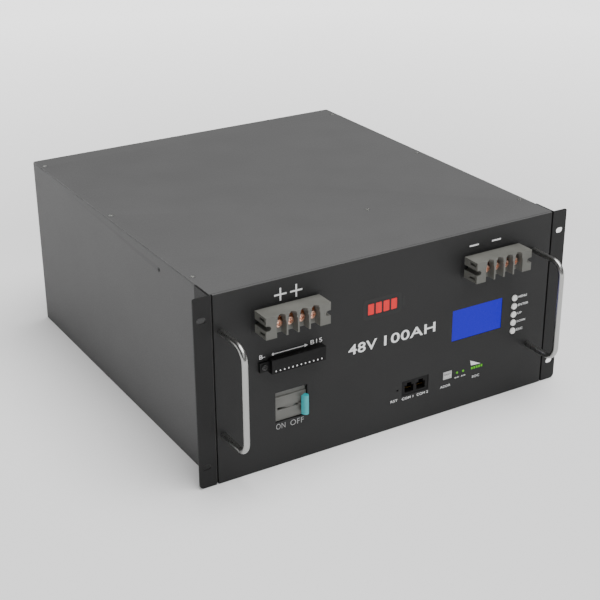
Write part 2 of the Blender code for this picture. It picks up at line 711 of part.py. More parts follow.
def make_front_panel():
    """The front plate with an opening for everything that looks through it."""
    half = CASE_WIDTH / 2 - SEAM
    panel = make_part("front_panel", "panel_paint",
                      lambda bm: add_box(bm, (-half, half), (0, PANEL_THICKNESS),
                                         (GROUND_GAP, PANEL_HEIGHT)))
    through = (-CUT, PANEL_THICKNESS + CUT)

    def openings(bm):
        play = 2 * OPENING_PLAY
        for sign in (-1, 1):
            add_block(bm, sign * TERMINAL_X, TERMINAL_Z, TAIL_WIDTH + play, TAIL_HEIGHT + play, through)
        add_block(bm, BALANCE_X, BALANCE_Z, BALANCE_TAIL_WIDTH + play, BALANCE_TAIL_HEIGHT + play, through)
        add_block(bm, BREAKER_X, BREAKER_Z, NOSE_WIDTH + play, NOSE_HEIGHT + play, through)
        add_block(bm, DISPLAY_X, DISPLAY_Z, DISPLAY_WIDTH, DISPLAY_HEIGHT, through)
        add_block(bm, SOCKET_X, ROW_Z, SOCKET_WIDTH + 2 * FIT, SOCKET_HEIGHT + 2 * FIT, through)
        add_block(bm, DIP_X, ROW_Z, DIP_WIDTH + 2 * FIT, DIP_HEIGHT + 2 * FIT, through)
        for x in charge_xs():
            add_block(bm, x, ROW_Z, CHARGE_WIDTH + 2 * FIT, CHARGE_HEIGHT + 2 * FIT, through)

    def round_holes(bm):
        for z in key_heights():
            add_rod(bm, KEY_X, z, KEY_RADIUS + SLIDE_GAP, through)
        for x in STATUS_XS:
            add_rod(bm, x, ROW_Z, STATUS_RADIUS + FIT, through, 12)
        add_rod(bm, RESET_X, ROW_Z, RESET_HOLE_RADIUS, through, 12)
        for x in (HANDLE_LEFT_X, HANDLE_RIGHT_X):
            for z in handle_foot_heights():
                add_rod(bm, x, z, HANDLE_STUD / 2 + FIT, through, 12)

    cut(panel, openings)
    cut(panel, round_holes)


# ---------------------------------------------------------------- terminal blocks

def bay_offsets():
    return [BAY_PITCH * (step - (BAY_COUNT - 1) / 2) for step in range(BAY_COUNT)]


def make_terminal_block(pole, sign):
    """A barrier block: four bays open to the front and below, and scalloped above."""
    x = sign * TERMINAL_X
    foot = TERMINAL_Z - BLOCK_HEIGHT / 2
    front = -FIT - BLOCK_DEPTH
    floor = -FIT - BLOCK_FLOOR
    bay_width = BAY_PITCH - RIB
    bays_width = BAY_COUNT * BAY_PITCH
    arch_z = TERMINAL_Z + BLOCK_HEIGHT / 2 - BAY_CEILING - bay_width / 2
    block = make_part(pole + "_terminal_block", "terminal_plastic",
                      lambda bm: add_block(bm, x, TERMINAL_Z, BLOCK_WIDTH, BLOCK_HEIGHT, (front, -FIT)))

    def bays(bm):
        for offset in bay_offsets():
            middle = x + offset
            outline = [(middle - bay_width / 2, foot - CUT), (middle + bay_width / 2, foot - CUT)]
            outline += arc((middle, arch_z), bay_width / 2, 0, math.pi, 8)
            add_prism(bm, outline, facing, front - CUT, floor)

    def scallops(bm):
        away = (0, -math.cos(BAY_SLOPE), math.sin(BAY_SLOPE))
        reach = (BLOCK_DEPTH - BLOCK_FLOOR) * 2
        radius = bay_width / 2 - SCALLOP_WALL
        for offset in bay_offsets():
            start = (x + offset, behind(floor - CUT), arch_z)
            add_turned(bm, start, away, [(0, radius), (reach, radius)], 16)

    def channel(bm):
        width = bays_width - RIB - 2 * FIT
        add_block(bm, x, TERMINAL_Z, width, CONTACT_HEIGHT + 2 * FIT,
                  (floor - FIT, floor + CONTACT_THICKNESS + FIT))

    def tail_hole(bm):
        add_block(bm, x, TERMINAL_Z, TAIL_WIDTH + 2 * FIT, TAIL_HEIGHT + 2 * FIT, (floor, CUT))

    def ends(bm):
        for end in (-1, 1):
            edge = x + end * BLOCK_WIDTH / 2
            radius = BAY_CEILING * 0.75
            middle = edge - end * (NOTCH_DEPTH - radius)
            notch = [(edge + end * CUT, TERMINAL_Z + radius)]
            notch += [(middle - end * radius * math.sin(step * math.pi / 6),
                       TERMINAL_Z + radius * math.cos(step * math.pi / 6)) for step in range(7)]
            notch.append((edge + end * CUT, TERMINAL_Z - radius))
            add_prism(bm, notch, facing, front - CUT, CUT)
            for level in (-1, 1):
                groove = sorted((edge + end * CUT, edge - end * END_GROOVE_DEPTH))
                z = TERMINAL_Z + level * END_GROOVE_Z
                add_box(bm, groove, (front + END_GROOVE_DEPTH, floor + END_GROOVE_DEPTH),
                        (z - END_GROOVE_HEIGHT / 2, z + END_GROOVE_HEIGHT / 2))

    for tool in (bays, scallops, channel, tail_hole, ends):
        cut(block, tool)


def make_contact_bar(pole, sign):
    """The copper bar behind the bays, with a tail that runs back through the panel."""
    x = sign * TERMINAL_X
    floor = -FIT - BLOCK_FLOOR
    width = BAY_COUNT * BAY_PITCH - RIB - 4 * FIT
    plate = (floor + FIT, floor + CONTACT_THICKNESS)
    bar = make_part(pole + "_contact_bar", "copper",
                    lambda bm: add_block(bm, x, TERMINAL_Z, width, CONTACT_HEIGHT, plate))
    tail = (plate[1] - CUT, TAIL_REACH)
    join(bar, lambda bm: add_block(bm, x, TERMINAL_Z, TAIL_WIDTH, TAIL_HEIGHT, tail))

    def threads(bm):
        for offset in bay_offsets():
            add_rod(bm, x + offset, TERMINAL_Z, TERMINAL_SHANK_RADIUS + FIT, (plate[0] - CUT, plate[1]), 12)

    cut(bar, threads)


def make_terminal_screws(pole, sign):
    """Four screws with cross-slotted round heads, one in each bay."""
    floor = -FIT - BLOCK_FLOOR
    head_back = floor - LUG_SPACE
    head_front = head_back - TERMINAL_HEAD_HEIGHT
    tip = floor + CONTACT_THICKNESS - FIT
    dome = TERMINAL_HEAD_DOME
    for number, offset in enumerate(bay_offsets(), start=1):
        x = sign * TERMINAL_X + offset
        profile = [(0, TERMINAL_HEAD_RADIUS - dome), (dome, TERMINAL_HEAD_RADIUS),
                   (TERMINAL_HEAD_HEIGHT, TERMINAL_HEAD_RADIUS),
                   (TERMINAL_HEAD_HEIGHT, TERMINAL_SHANK_RADIUS), (tip - head_front, TERMINAL_SHANK_RADIUS)]
        crown = (x, behind(head_front), TERMINAL_Z)
        screw = make_part("%s_terminal_screw_%d" % (pole, number), "copper",
                          lambda bm: add_turned(bm, crown, (0, 1, 0), profile, 16), round_piece=True)
        arm = TERMINAL_HEAD_RADIUS * 1.2
        slot = TERMINAL_HEAD_RADIUS * 0.28

        def cross(bm):
            quarter = [(slot, slot), (slot, arm), (-slot, arm)]
            outline = quarter + [(-b, a) for a, b in quarter] + [(-a, -b) for a, b in quarter]
            outline += [(b, -a) for a, b in quarter]
            outline = [(x + a, TERMINAL_Z + b) for a, b in outline]
            add_prism(bm, outline, facing, head_front - CUT, head_front + 2 * dome)

        cut(screw, cross)


# ---------------------------------------------------------------- balance connector

def make_balance_connector():
    """A long plug-in header with a fixing ear at its left end and a row of contacts along its foot."""
    left = BALANCE_X - BALANCE_BODY_WIDTH / 2
    body = make_part("balance_connector", "black_plastic",
                     lambda bm: add_block(bm, BALANCE_X, BALANCE_Z, BALANCE_BODY_WIDTH, BALANCE_BODY_HEIGHT,
                                          (-BALANCE_STAND, -FIT)))
    join(body, lambda bm: add_box(bm, (left - BALANCE_EAR, left + CUT), (-FIT - BALANCE_EAR_THICKNESS, -FIT),
                                  (BALANCE_Z - BALANCE_EAR_HEIGHT / 2, BALANCE_Z + BALANCE_EAR_HEIGHT / 2)))
    join(body, lambda bm: add_block(bm, BALANCE_X, BALANCE_Z, BALANCE_TAIL_WIDTH, BALANCE_TAIL_HEIGHT,
                                    (-CUT, BALANCE_TAIL_REACH)))

    sunk = (-BALANCE_STAND - CUT, BALANCE_HOLE_DEPTH - BALANCE_STAND)

    def contacts(bm):
        z = BALANCE_Z - BALANCE_BODY_HEIGHT / 2 + BALANCE_HOLE_RISE
        for way in range(BALANCE_WAYS):
            x = BALANCE_X + BALANCE_PITCH * (way - (BALANCE_WAYS - 1) / 2)
            add_rod(bm, x, z, BALANCE_HOLE_RADIUS, sunk, 8)

    cut(body, contacts)


# ---------------------------------------------------------------- breaker

def lever_point(angle, radius):
    """A point round the lever's pivot; the angle is from straight out, towards +X."""
    return (BREAKER_X + radius * math.sin(angle), LEVER_PIVOT_DEPTH - radius * math.cos(angle))


def make_breaker_body():
    """A two-pole breaker on its side: its nose looks through the panel."""
    body = make_part("breaker_body", "breaker_plastic",
                     lambda bm: add_block(bm, BREAKER_X, BREAKER_Z, BREAKER_WIDTH, BREAKER_HEIGHT,
                                          (BREAKER_SHOULDER, BREAKER_REAR)))

    def nose(bm):
        add_block(bm, BREAKER_X, BREAKER_Z, NOSE_WIDTH, NOSE_HEIGHT, (NOSE_RECESS, BREAKER_SHOULDER + CUT))

    def step(bm):
        top = BREAKER_Z + NOSE_HEIGHT / 2
        add_box(bm, (BREAKER_X - NOSE_WIDTH, BREAKER_X + NOSE_WIDTH), (0, NOSE_RECESS + NOSE_STEP_DEPTH),
                (top - NOSE_STEP_HEIGHT, top + CUT))

    def lever_room(bm):
        half = LEVER_PLATE / 2 + LEVER_SLOT_PLAY
        round_room = [lever_point(angle, LEVER_SECTOR_RADIUS + 2 * FIT) for angle in
                      [2 * math.pi * step / 32 for step in range(32)]]
        add_prism(bm, round_room, upright, LEVER_Z - half, LEVER_Z + half)

    def lever_slot(bm):
        half = LEVER_PLATE / 2 + LEVER_SLOT_PLAY
        add_box(bm, (BREAKER_X - LEVER_SLOT_HALF, BREAKER_X + LEVER_SLOT_HALF),
                (NOSE_RECESS - CUT, NOSE_RECESS + LEVER_SECTOR_RADIUS / 2),
                (LEVER_Z - half, LEVER_Z + half))

    def bores(bm):
        length = LEVER_PIN_LENGTH + 2 * FIT
        pin = (BREAKER_X, behind(LEVER_PIVOT_DEPTH), LEVER_Z - length / 2)
        add_turned(bm, pin, (0, 0, 1), [(0, LEVER_PIN_RADIUS + FIT), (length, LEVER_PIN_RADIUS + FIT)], 12)
        for sign in (-1, 1):
            mouth = (BREAKER_X + sign * (BREAKER_WIDTH / 2 + CUT), behind(WIRE_HOLE_BACK), BREAKER_Z)
            hole = [(0, WIRE_HOLE_RADIUS), (WIRE_HOLE_DEPTH + CUT, WIRE_HOLE_RADIUS)]
            add_turned(bm, mouth, (-sign, 0, 0), hole, 12)

    join(body, nose)
    for tool in (step, lever_room, lever_slot, bores):
        cut(body, tool)


def make_breaker_lever():
    """The toggle: a thin sector on its pivot, and an upright paddle in front of the nose."""
    half = LEVER_PLATE / 2
    start = LEVER_REST - LEVER_SECTOR
    end = LEVER_REST + LEVER_SECTOR
    rim = [lever_point(start + (end - start) * step / 18, LEVER_SECTOR_RADIUS) for step in range(19)]
    hub_start = end
    hub_end = start + 2 * math.pi
    hub = [lever_point(hub_start + (hub_end - hub_start) * step / 12, LEVER_HUB_RADIUS)
           for step in range(13)]
    lever = make_part("breaker_lever", "lever_plastic",
                      lambda bm: add_prism(bm, rim + hub, upright, LEVER_Z - half, LEVER_Z + half),
                      round_piece=True)

    def along(radius, sideways_offset):
        middle = lever_point(LEVER_REST, radius)
        return (middle[0] + sideways_offset * math.cos(LEVER_REST),
                middle[1] + sideways_offset * math.sin(LEVER_REST))

    def stem(bm):
        inner = LEVER_SECTOR_RADIUS - CUT
        outer = LEVER_PADDLE_INNER + CUT
        wide = LEVER_STEM / 2
        outline = [along(inner, -wide), along(inner, wide), along(outer, wide), along(outer, -wide)]
        add_prism(bm, outline, upright, LEVER_Z - half, LEVER_Z + half)

    def paddle(bm):
        wide = LEVER_PADDLE_WIDTH / 2
        crown = LEVER_TIP_RADIUS - wide
        outline = [along(LEVER_PADDLE_INNER, -wide), along(LEVER_PADDLE_INNER, wide)]
        outline += [along(crown + wide * math.sin(turn), wide * math.cos(turn))
                    for turn in [math.pi * step / 8 for step in range(9)]]
        tall = LEVER_PADDLE_HEIGHT / 2
        add_prism(bm, outline, upright, LEVER_Z - tall, LEVER_Z + tall)

    def bore(bm):
        start_point = (BREAKER_X, behind(LEVER_PIVOT_DEPTH), LEVER_Z - half - CUT)
        radius = LEVER_PIN_RADIUS + FIT
        add_turned(bm, start_point, (0, 0, 1), [(0, radius), (LEVER_PLATE + 2 * CUT, radius)], 12)

    join(lever, stem)
    join(lever, paddle)
    cut(lever, bore)


def make_breaker_pin():
    start = (BREAKER_X, behind(LEVER_PIVOT_DEPTH), LEVER_Z - LEVER_PIN_LENGTH / 2)
    profile = [(0, LEVER_PIN_RADIUS), (LEVER_PIN_LENGTH, LEVER_PIN_RADIUS)]
    make_part("breaker_pivot_pin", "steel", lambda bm: add_turned(bm, start, (0, 0, 1), profile, 12),
              round_piece=True)


# ---------------------------------------------------------------- display and menu keys

def make_display():
    """The clear window in the panel, and the board behind it with the display module and key switches."""
    window = make_part("display_window", "display_glass",
                       lambda bm: add_block(bm, DISPLAY_X, DISPLAY_Z, DISPLAY_WIDTH - 2 * FIT,
                                            DISPLAY_HEIGHT - 2 * FIT, (WINDOW_RECESS, CASE_FRONT + CUT)))
    flange_back = CASE_FRONT + WINDOW_FLANGE_THICKNESS
    join(window, lambda bm: add_block(bm, DISPLAY_X, DISPLAY_Z, DISPLAY_WIDTH + 2 * WINDOW_FLANGE,
                                      DISPLAY_HEIGHT + 2 * WINDOW_FLANGE, (CASE_FRONT, flange_back)))
    left = DISPLAY_X - MODULE_WIDTH / 2
    right = KEY_X + BOARD_MARGIN
    low = min(DISPLAY_Z - MODULE_HEIGHT / 2, min(key_heights()) - BOARD_MARGIN)
    high = max(DISPLAY_Z + MODULE_HEIGHT / 2, max(key_heights()) + BOARD_MARGIN)
    board = make_part("display_board", "circuit_board",
                      lambda bm: add_box(bm, (left, right),
                                         (BOARD_DEPTH, BOARD_DEPTH + BOARD_THICKNESS), (low, high)))

    def fittings(bm):
        add_block(bm, DISPLAY_X, DISPLAY_Z, MODULE_WIDTH - CUT, MODULE_HEIGHT - CUT,
                  (flange_back + FIT, BOARD_DEPTH + BOARD_THICKNESS / 2))
        for z in key_heights():
            add_block(bm, KEY_X, z, SWITCH_SIZE, SWITCH_SIZE,
                      (BOARD_DEPTH - SWITCH_HEIGHT, BOARD_DEPTH + BOARD_THICKNESS / 2))

    join(board, fittings)


def make_menu_keys():
    """Five round keys, each with a collar behind the panel and a stem to its switch."""
    collar = PANEL_THICKNESS + 2 * FIT
    stem_end = BOARD_DEPTH - SWITCH_HEIGHT - KEY_TRAVEL - FIT
    edge = KEY_EDGE
    for number, z in enumerate(key_heights(), start=1):
        profile = [(0, KEY_RADIUS - edge), (edge, KEY_RADIUS), (KEY_STAND + collar, KEY_RADIUS),
                   (KEY_STAND + collar, KEY_FLANGE_RADIUS),
                   (KEY_STAND + collar + KEY_FLANGE_THICKNESS, KEY_FLANGE_RADIUS),
                   (KEY_STAND + collar + KEY_FLANGE_THICKNESS, KEY_STEM_RADIUS),
                   (KEY_STAND + stem_end, KEY_STEM_RADIUS)]
        make_part("menu_key_%d" % number, "key_plastic",
                  lambda bm: add_turned(bm, (KEY_X, behind(-KEY_STAND), z), (0, 1, 0), profile, 16),
                  round_piece=True)


# ---------------------------------------------------------------- communication row

def make_socket():
    """A double network socket; each jack has a wide mouth and a narrow latch slot above it."""
    rear = BOARD_DEPTH - FIT
    body = make_part("network_socket", "black_plastic",
                     lambda bm: add_block(bm, SOCKET_X, ROW_Z, SOCKET_WIDTH, SOCKET_HEIGHT,
                                          (SOCKET_RECESS, rear)))

    def jacks(bm):
        wide = JACK_WIDTH / 2
        latch = JACK_LATCH_WIDTH / 2
        low = ROW_Z - JACK_DROP - JACK_HEIGHT / 2
        high = low + JACK_HEIGHT
        top = high + JACK_LATCH_HEIGHT
        for sign in (-1, 1):
            x = SOCKET_X + sign * JACK_PITCH / 2
            outline = [(x - wide, low), (x + wide, low), (x + wide, high), (x + latch, high),
                       (x + latch, top), (x - latch, top), (x - latch, high), (x - wide, high)]
            add_prism(bm, outline, facing, -CUT, SOCKET_RECESS + JACK_DEPTH)

    cut(body, jacks)


def dip_xs():
    return [DIP_X + DIP_PITCH * (step - (DIP_WAYS - 1) / 2) for step in range(DIP_WAYS)]


def make_dip_switch():
    """A four-way address switch: its sliders start at the foot of their tracks."""
    body = make_part("dip_switch_body", "switch_plastic",
                     lambda bm: add_block(bm, DIP_X, ROW_Z, DIP_WIDTH, DIP_HEIGHT,
                                          (DIP_RECESS, BOARD_DEPTH - FIT)))
    track_height = DIP_SLIDER_HEIGHT + DIP_TRAVEL + 2 * FIT
    track_back = DIP_SLIDER_FRONT + DIP_SLIDER_LENGTH + FIT

    def tracks(bm):
        for x in dip_xs():
            add_block(bm, x, ROW_Z, DIP_SLIDER_WIDTH + 2 * FIT, track_height, (-CUT, track_back))

    cut(body, tracks)
    for number, x in enumerate(dip_xs(), start=1):
        make_part("dip_slider_%d" % number, "key_plastic",
                  lambda bm: add_block(bm, x, ROW_Z - DIP_TRAVEL / 2, DIP_SLIDER_WIDTH, DIP_SLIDER_HEIGHT,
                                       (DIP_SLIDER_FRONT, DIP_SLIDER_FRONT + DIP_SLIDER_LENGTH)))


def make_light_guides():
    """Two clear mouldings that bring the lamps on the board to the panel's face."""
    rail = (CASE_FRONT, CASE_FRONT + GUIDE_RAIL_DEPTH)
    status_middle = sum(STATUS_XS) / len(STATUS_XS)
    status_span = max(STATUS_XS) - min(STATUS_XS)
    status = make_part("status_light_guide", "light_guide",
                       lambda bm: add_block(bm, status_middle, ROW_Z, status_span + 4 * STATUS_RADIUS,
                                            3 * STATUS_RADIUS, rail))

    def status_prongs(bm):
        for x in STATUS_XS:
            add_rod(bm, x, ROW_Z, STATUS_RADIUS, (-GUIDE_STAND, GUIDE_REAR), 12)

    join(status, status_prongs)
    charge_span = CHARGE_PITCH * CHARGE_COUNT
    charge = make_part("charge_light_guide", "light_guide",
                       lambda bm: add_block(bm, CHARGE_X, ROW_Z, charge_span,
                                            CHARGE_HEIGHT + 2 * FIT, rail))

    def charge_prongs(bm):
        for x in charge_xs():
            add_block(bm, x, ROW_Z, CHARGE_WIDTH, CHARGE_HEIGHT, (-GUIDE_STAND, GUIDE_REAR))

    join(charge, charge_prongs)


def make_communication_board():
    """The board behind the row, with the reset switch and the lamps on it."""
    left = RESET_X - BOARD_MARGIN
    right = max(charge_xs()) + BOARD_MARGIN
    tall = SOCKET_HEIGHT / 2 + BOARD_MARGIN
    board = make_part("communication_board", "circuit_board",
                      lambda bm: add_box(bm, (left, right), (BOARD_DEPTH, BOARD_DEPTH + BOARD_THICKNESS),
                                         (ROW_Z - tall, ROW_Z + tall)))

    def fittings(bm):
        inside = BOARD_DEPTH + BOARD_THICKNESS / 2
        add_block(bm, RESET_X, ROW_Z, SWITCH_SIZE, SWITCH_SIZE, (BOARD_DEPTH - SWITCH_HEIGHT, inside))
        for x in list(STATUS_XS) + charge_xs():
            add_block(bm, x, ROW_Z, CHARGE_WIDTH, CHARGE_HEIGHT, (BOARD_DEPTH - LED_THICKNESS, inside))

    join(board, fittings)


def make_reset_button():
    """The small plunger that a pin pushes through its hole in the panel."""
    end = BOARD_DEPTH - SWITCH_HEIGHT - KEY_TRAVEL - FIT
    neck = (RESET_FRONT + end) / 2
    profile = [(0, RESET_RADIUS), (neck - RESET_FRONT, RESET_RADIUS),
               (neck - RESET_FRONT, RESET_RADIUS * 1.5), (end - RESET_FRONT, RESET_RADIUS * 1.5)]
    make_part("reset_button", "key_plastic",
              lambda bm: add_turned(bm, (RESET_X, behind(RESET_FRONT), ROW_Z), (0, 1, 0), profile, 12),
              round_piece=True)


# ---------------------------------------------------------------- cells and their links

def stack_x(stack):
    return STACK_PITCH * (stack - (STACK_COUNT - 1) / 2)


def cell_depth(cell):
    """Depth of the middle of a cell."""
    return CELL_START + CELL_THICKNESS / 2 + CELL_PITCH * cell


def link_side(stack, cell):
    """Which of a cell's two posts, -1 or 1, is linked to the next cell behind it."""
    return 1 if (stack + cell) % 2 == 0 else -1


def make_cell_stacks():
    """Three stacks of five cells; the gaps between cells show as grooves in the stack."""
    for stack, side in enumerate(("left", "middle", "right")):
        x = stack_x(stack)
        outline = [(CELL_START, FLOOR_Z)]
        outline += groove_points(FLOOR_Z, 1)
        outline += [(CELL_START + STACK_LENGTH, FLOOR_Z), (CELL_START + STACK_LENGTH, CELL_TOP)]
        outline += list(reversed(groove_points(CELL_TOP, -1)))
        outline.append((CELL_START, CELL_TOP))
        cells = make_part("cell_stack_" + side, "cell_plastic",
                          lambda bm: add_prism(bm, outline, sideways,
                                               x - CELL_WIDTH / 2, x + CELL_WIDTH / 2))

        def posts(bm):
            for cell in range(CELLS_PER_STACK):
                for post in (-1, 1):
                    foot = (x + post * POST_SPACING / 2, behind(cell_depth(cell)), CELL_TOP - CUT)
                    profile = [(0, POST_RADIUS), (POST_HEIGHT + CUT, POST_RADIUS)]
                    add_turned(bm, foot, (0, 0, 1), profile, 12)

        join(cells, posts)


def groove_points(level, inward):
    """The grooves between cells along one edge of a stack's outline, from front to back."""
    points = []
    for gap in range(CELLS_PER_STACK - 1):
        start = CELL_START + CELL_THICKNESS + CELL_PITCH * gap
        bottom = level + inward * CELL_GROOVE
        points += [(start, level), (start, bottom), (start + CELL_GAP, bottom), (start + CELL_GAP, level)]
    return points


def make_link_carrier():
    """The insulating sheet over the posts, with the series links and the two end pads on it."""
    half = stack_x(STACK_COUNT - 1) + CELL_WIDTH / 2 - 2 * STACK_GAP
    length = (CELL_START + 2 * STACK_GAP, CELL_START + STACK_LENGTH - 2 * STACK_GAP)
    carrier = make_part("link_carrier", "carrier_plastic",
                        lambda bm: add_box(bm, (-half, half), length,
                                           (CARRIER_Z, CARRIER_Z + CARRIER_SHEET)))
    height = (CARRIER_Z + CARRIER_SHEET / 2, LINK_TOP)

    def links(bm):
        wide = LINK_WIDTH / 2
        for stack in range(STACK_COUNT):
            for cell in range(CELLS_PER_STACK - 1):
                x = stack_x(stack) + link_side(stack, cell) * POST_SPACING / 2
                add_box(bm, (x - wide, x + wide),
                        (cell_depth(cell) - wide, cell_depth(cell + 1) + wide), height)
        for stack, cell in ((0, CELLS_PER_STACK - 1), (1, 0)):
            left = stack_x(stack) + POST_SPACING / 2
            right = stack_x(stack + 1) - POST_SPACING / 2
            add_box(bm, (left - wide, right + wide),
                    (cell_depth(cell) - wide, cell_depth(cell) + wide), height)
        for x, cell in ((-OUTER_POST_X, 0), (OUTER_POST_X, CELLS_PER_STACK - 1)):
            add_box(bm, (x - wide, x + wide),
                    (cell_depth(cell) - wide, cell_depth(cell) + wide), height)

    join(carrier, links)


def make_management_board():
    """The battery management board on the front of the cross plate, with its heat spreader."""
    front = (BMS_DEPTH, BMS_DEPTH + BOARD_THICKNESS)
    board = make_part("management_board", "circuit_board",
                      lambda bm: add_block(bm, 0, BMS_Z, BMS_WIDTH, BMS_HEIGHT, front))

    def fittings(bm):
        rail_z = BMS_Z + BMS_HEIGHT / 4
        add_block(bm, 0, BMS_Z, BMS_WIDTH - 2 * BMS_RAIL, BMS_HEIGHT - 2 * BMS_RAIL,
                  (front[1] - FIT, BAY_DEPTH - FIT))
        for side in (-1, 1):
            stand = (front[0] - BMS_RAIL, front[0] + FIT)
            add_block(bm, side * BMS_WIDTH / 4, rail_z, BMS_WIDTH / 3, BMS_RAIL, stand)
            add_block(bm, side * BMS_WIDTH / 3, BMS_Z - BMS_HEIGHT / 4, BMS_RAIL, BMS_RAIL, stand)

    join(board, fittings)


def make_fuse():
    """The main fuse, on the first cell's free post and out over the notch in the cross plate."""
    x = -OUTER_POST_X
    low = LINK_TOP + FIT
    rear = cell_depth(0) + POST_RADIUS
    front = BAY_DEPTH - FUSE_REACH
    fuse = make_part("main_fuse", "fuse_ceramic",
                     lambda bm: add_box(bm, (x - FUSE_BLADE_WIDTH / 2, x + FUSE_BLADE_WIDTH / 2),
                                        (front, rear), (low, low + FUSE_BLADE_THICKNESS)))
    middle = BAY_DEPTH
    z = low + FUSE_BLADE_THICKNESS / 2
    join(fuse, lambda bm: add_box(bm, (x - FUSE_BODY_WIDTH / 2, x + FUSE_BODY_WIDTH / 2),
                                  (middle - FUSE_BODY_LENGTH / 2, middle + FUSE_BODY_LENGTH / 2),
                                  (z - FUSE_BODY_HEIGHT / 2, z + FUSE_BODY_HEIGHT / 2)))


def make_lead(name, finish, points, steps=5):
    """An insulated lead along its whole route, given as points (x, depth, z)."""
    route = smooth_route([(x, behind(depth), z) for x, depth, z in points], steps)
    path = [(point, LEAD_RADIUS) for point in route]
    make_part(name, finish, lambda bm: add_tube(bm, path, 8), round_piece=True)


def make_leads():
    """The four power leads between the terminals, the breaker, the fuse, the board and the cells."""
    clear = LEAD_RADIUS + FIT
    fuse_end = (-OUTER_POST_X, BAY_DEPTH - FUSE_REACH + LEAD_RADIUS, LINK_TOP)
    breaker_left = BREAKER_X - BREAKER_WIDTH / 2
    breaker_right = BREAKER_X + BREAKER_WIDTH / 2
    inside = WIRE_HOLE_DEPTH - CUT
    aside = LEAD_ASIDE
    lane = WIRE_HOLE_BACK + LEAD_LANE
    bend_z = BREAKER_Z + LEAD_DROP
    make_lead("positive_lead_rear", "red_cable", [
        fuse_end, (fuse_end[0], fuse_end[1], fuse_end[2] - LEAD_DROP),
        (breaker_left - aside, lane + LEAD_LANE, bend_z),
        (breaker_left - aside * 0.6, WIRE_HOLE_BACK, BREAKER_Z),
        (breaker_left + inside, WIRE_HOLE_BACK, BREAKER_Z)])
    make_lead("positive_lead_front", "red_cable", [
        (breaker_right - inside, WIRE_HOLE_BACK, BREAKER_Z),
        (breaker_right + aside * 0.6, WIRE_HOLE_BACK, BREAKER_Z),
        (breaker_right + aside, lane, bend_z),
        (-TERMINAL_X + aside, lane, TERMINAL_Z - aside - BOARD_LEAD_DROP),
        (-TERMINAL_X, TAIL_REACH + LEAD_STRAIGHT, TERMINAL_Z), (-TERMINAL_X, TAIL_REACH + FIT, TERMINAL_Z)])
    board_front = BMS_DEPTH - FIT
    turn_depth = BMS_DEPTH - LEAD_TURN
    exit_z = BMS_Z + BMS_HEIGHT / 2 - clear
    end_z = exit_z - BOARD_LEAD_DROP
    make_lead("negative_lead_front", "black_cable", [
        (TERMINAL_X, TAIL_REACH + FIT, TERMINAL_Z), (TERMINAL_X, TAIL_REACH + LEAD_STRAIGHT, TERMINAL_Z),
        (TERMINAL_X - aside, BMS_DEPTH - LEAD_DROP, (TERMINAL_Z + exit_z) / 2),
        (BMS_WIDTH / 3, turn_depth, end_z), (BMS_WIDTH / 3, board_front, end_z)])
    over = LINK_TOP + clear
    board_edge = BMS_WIDTH / 2 - clear
    make_lead("negative_lead_rear", "black_cable", [
        (board_edge, board_front, BMS_Z), (board_edge, turn_depth, BMS_Z),
        (OUTER_POST_X - aside, turn_depth - CROSS_SHEET, BMS_Z + BOARD_LEAD_RISE),
        (OUTER_POST_X, BAY_DEPTH - LEAD_TURN, over - LEAD_TURN),
        (OUTER_POST_X, BAY_DEPTH + LEAD_TURN + CROSS_SHEET, over + FIT),
        (OUTER_POST_X, BAY_DEPTH + LEAD_LANDING, over),
        (OUTER_POST_X, cell_depth(CELLS_PER_STACK - 1), over)], steps=4)


# ---------------------------------------------------------------- the whole pack

clear_scene()
MATERIALS = make_finishes()
make_case()
make_cover()
make_front_panel()
make_cross_plate()
make_ear("rack_ear_left", -1)
make_ear("rack_ear_right", 1)
make_handle("handle_left", HANDLE_LEFT_X)
make_handle("handle_right", HANDLE_RIGHT_X)
for pole_name, pole_sign in (("positive", -1), ("negative", 1)):
    make_terminal_block(pole_name, pole_sign)
    make_contact_bar(pole_name, pole_sign)
    make_terminal_screws(pole_name, pole_sign)
make_balance_connector()
make_breaker_body()
make_breaker_lever()
make_breaker_pin()
make_display()
make_menu_keys()
make_socket()
make_dip_switch()
make_light_guides()
make_communication_board()
make_reset_button()
make_case_screws()
make_cell_stacks()
make_link_carrier()
make_management_board()
make_fuse()
make_leads()
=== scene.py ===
# %% [markdown]
# # A battery pack for a 19 inch rack
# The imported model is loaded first, as a fixed frame. The pieces made below take their places from
# the frame's own boxes, and only the print has places of its own on the panel, in millimetres.
# %% Load the frame
import json
import math

import bmesh
import bpy
import numpy as np
from mathutils import Matrix, Vector

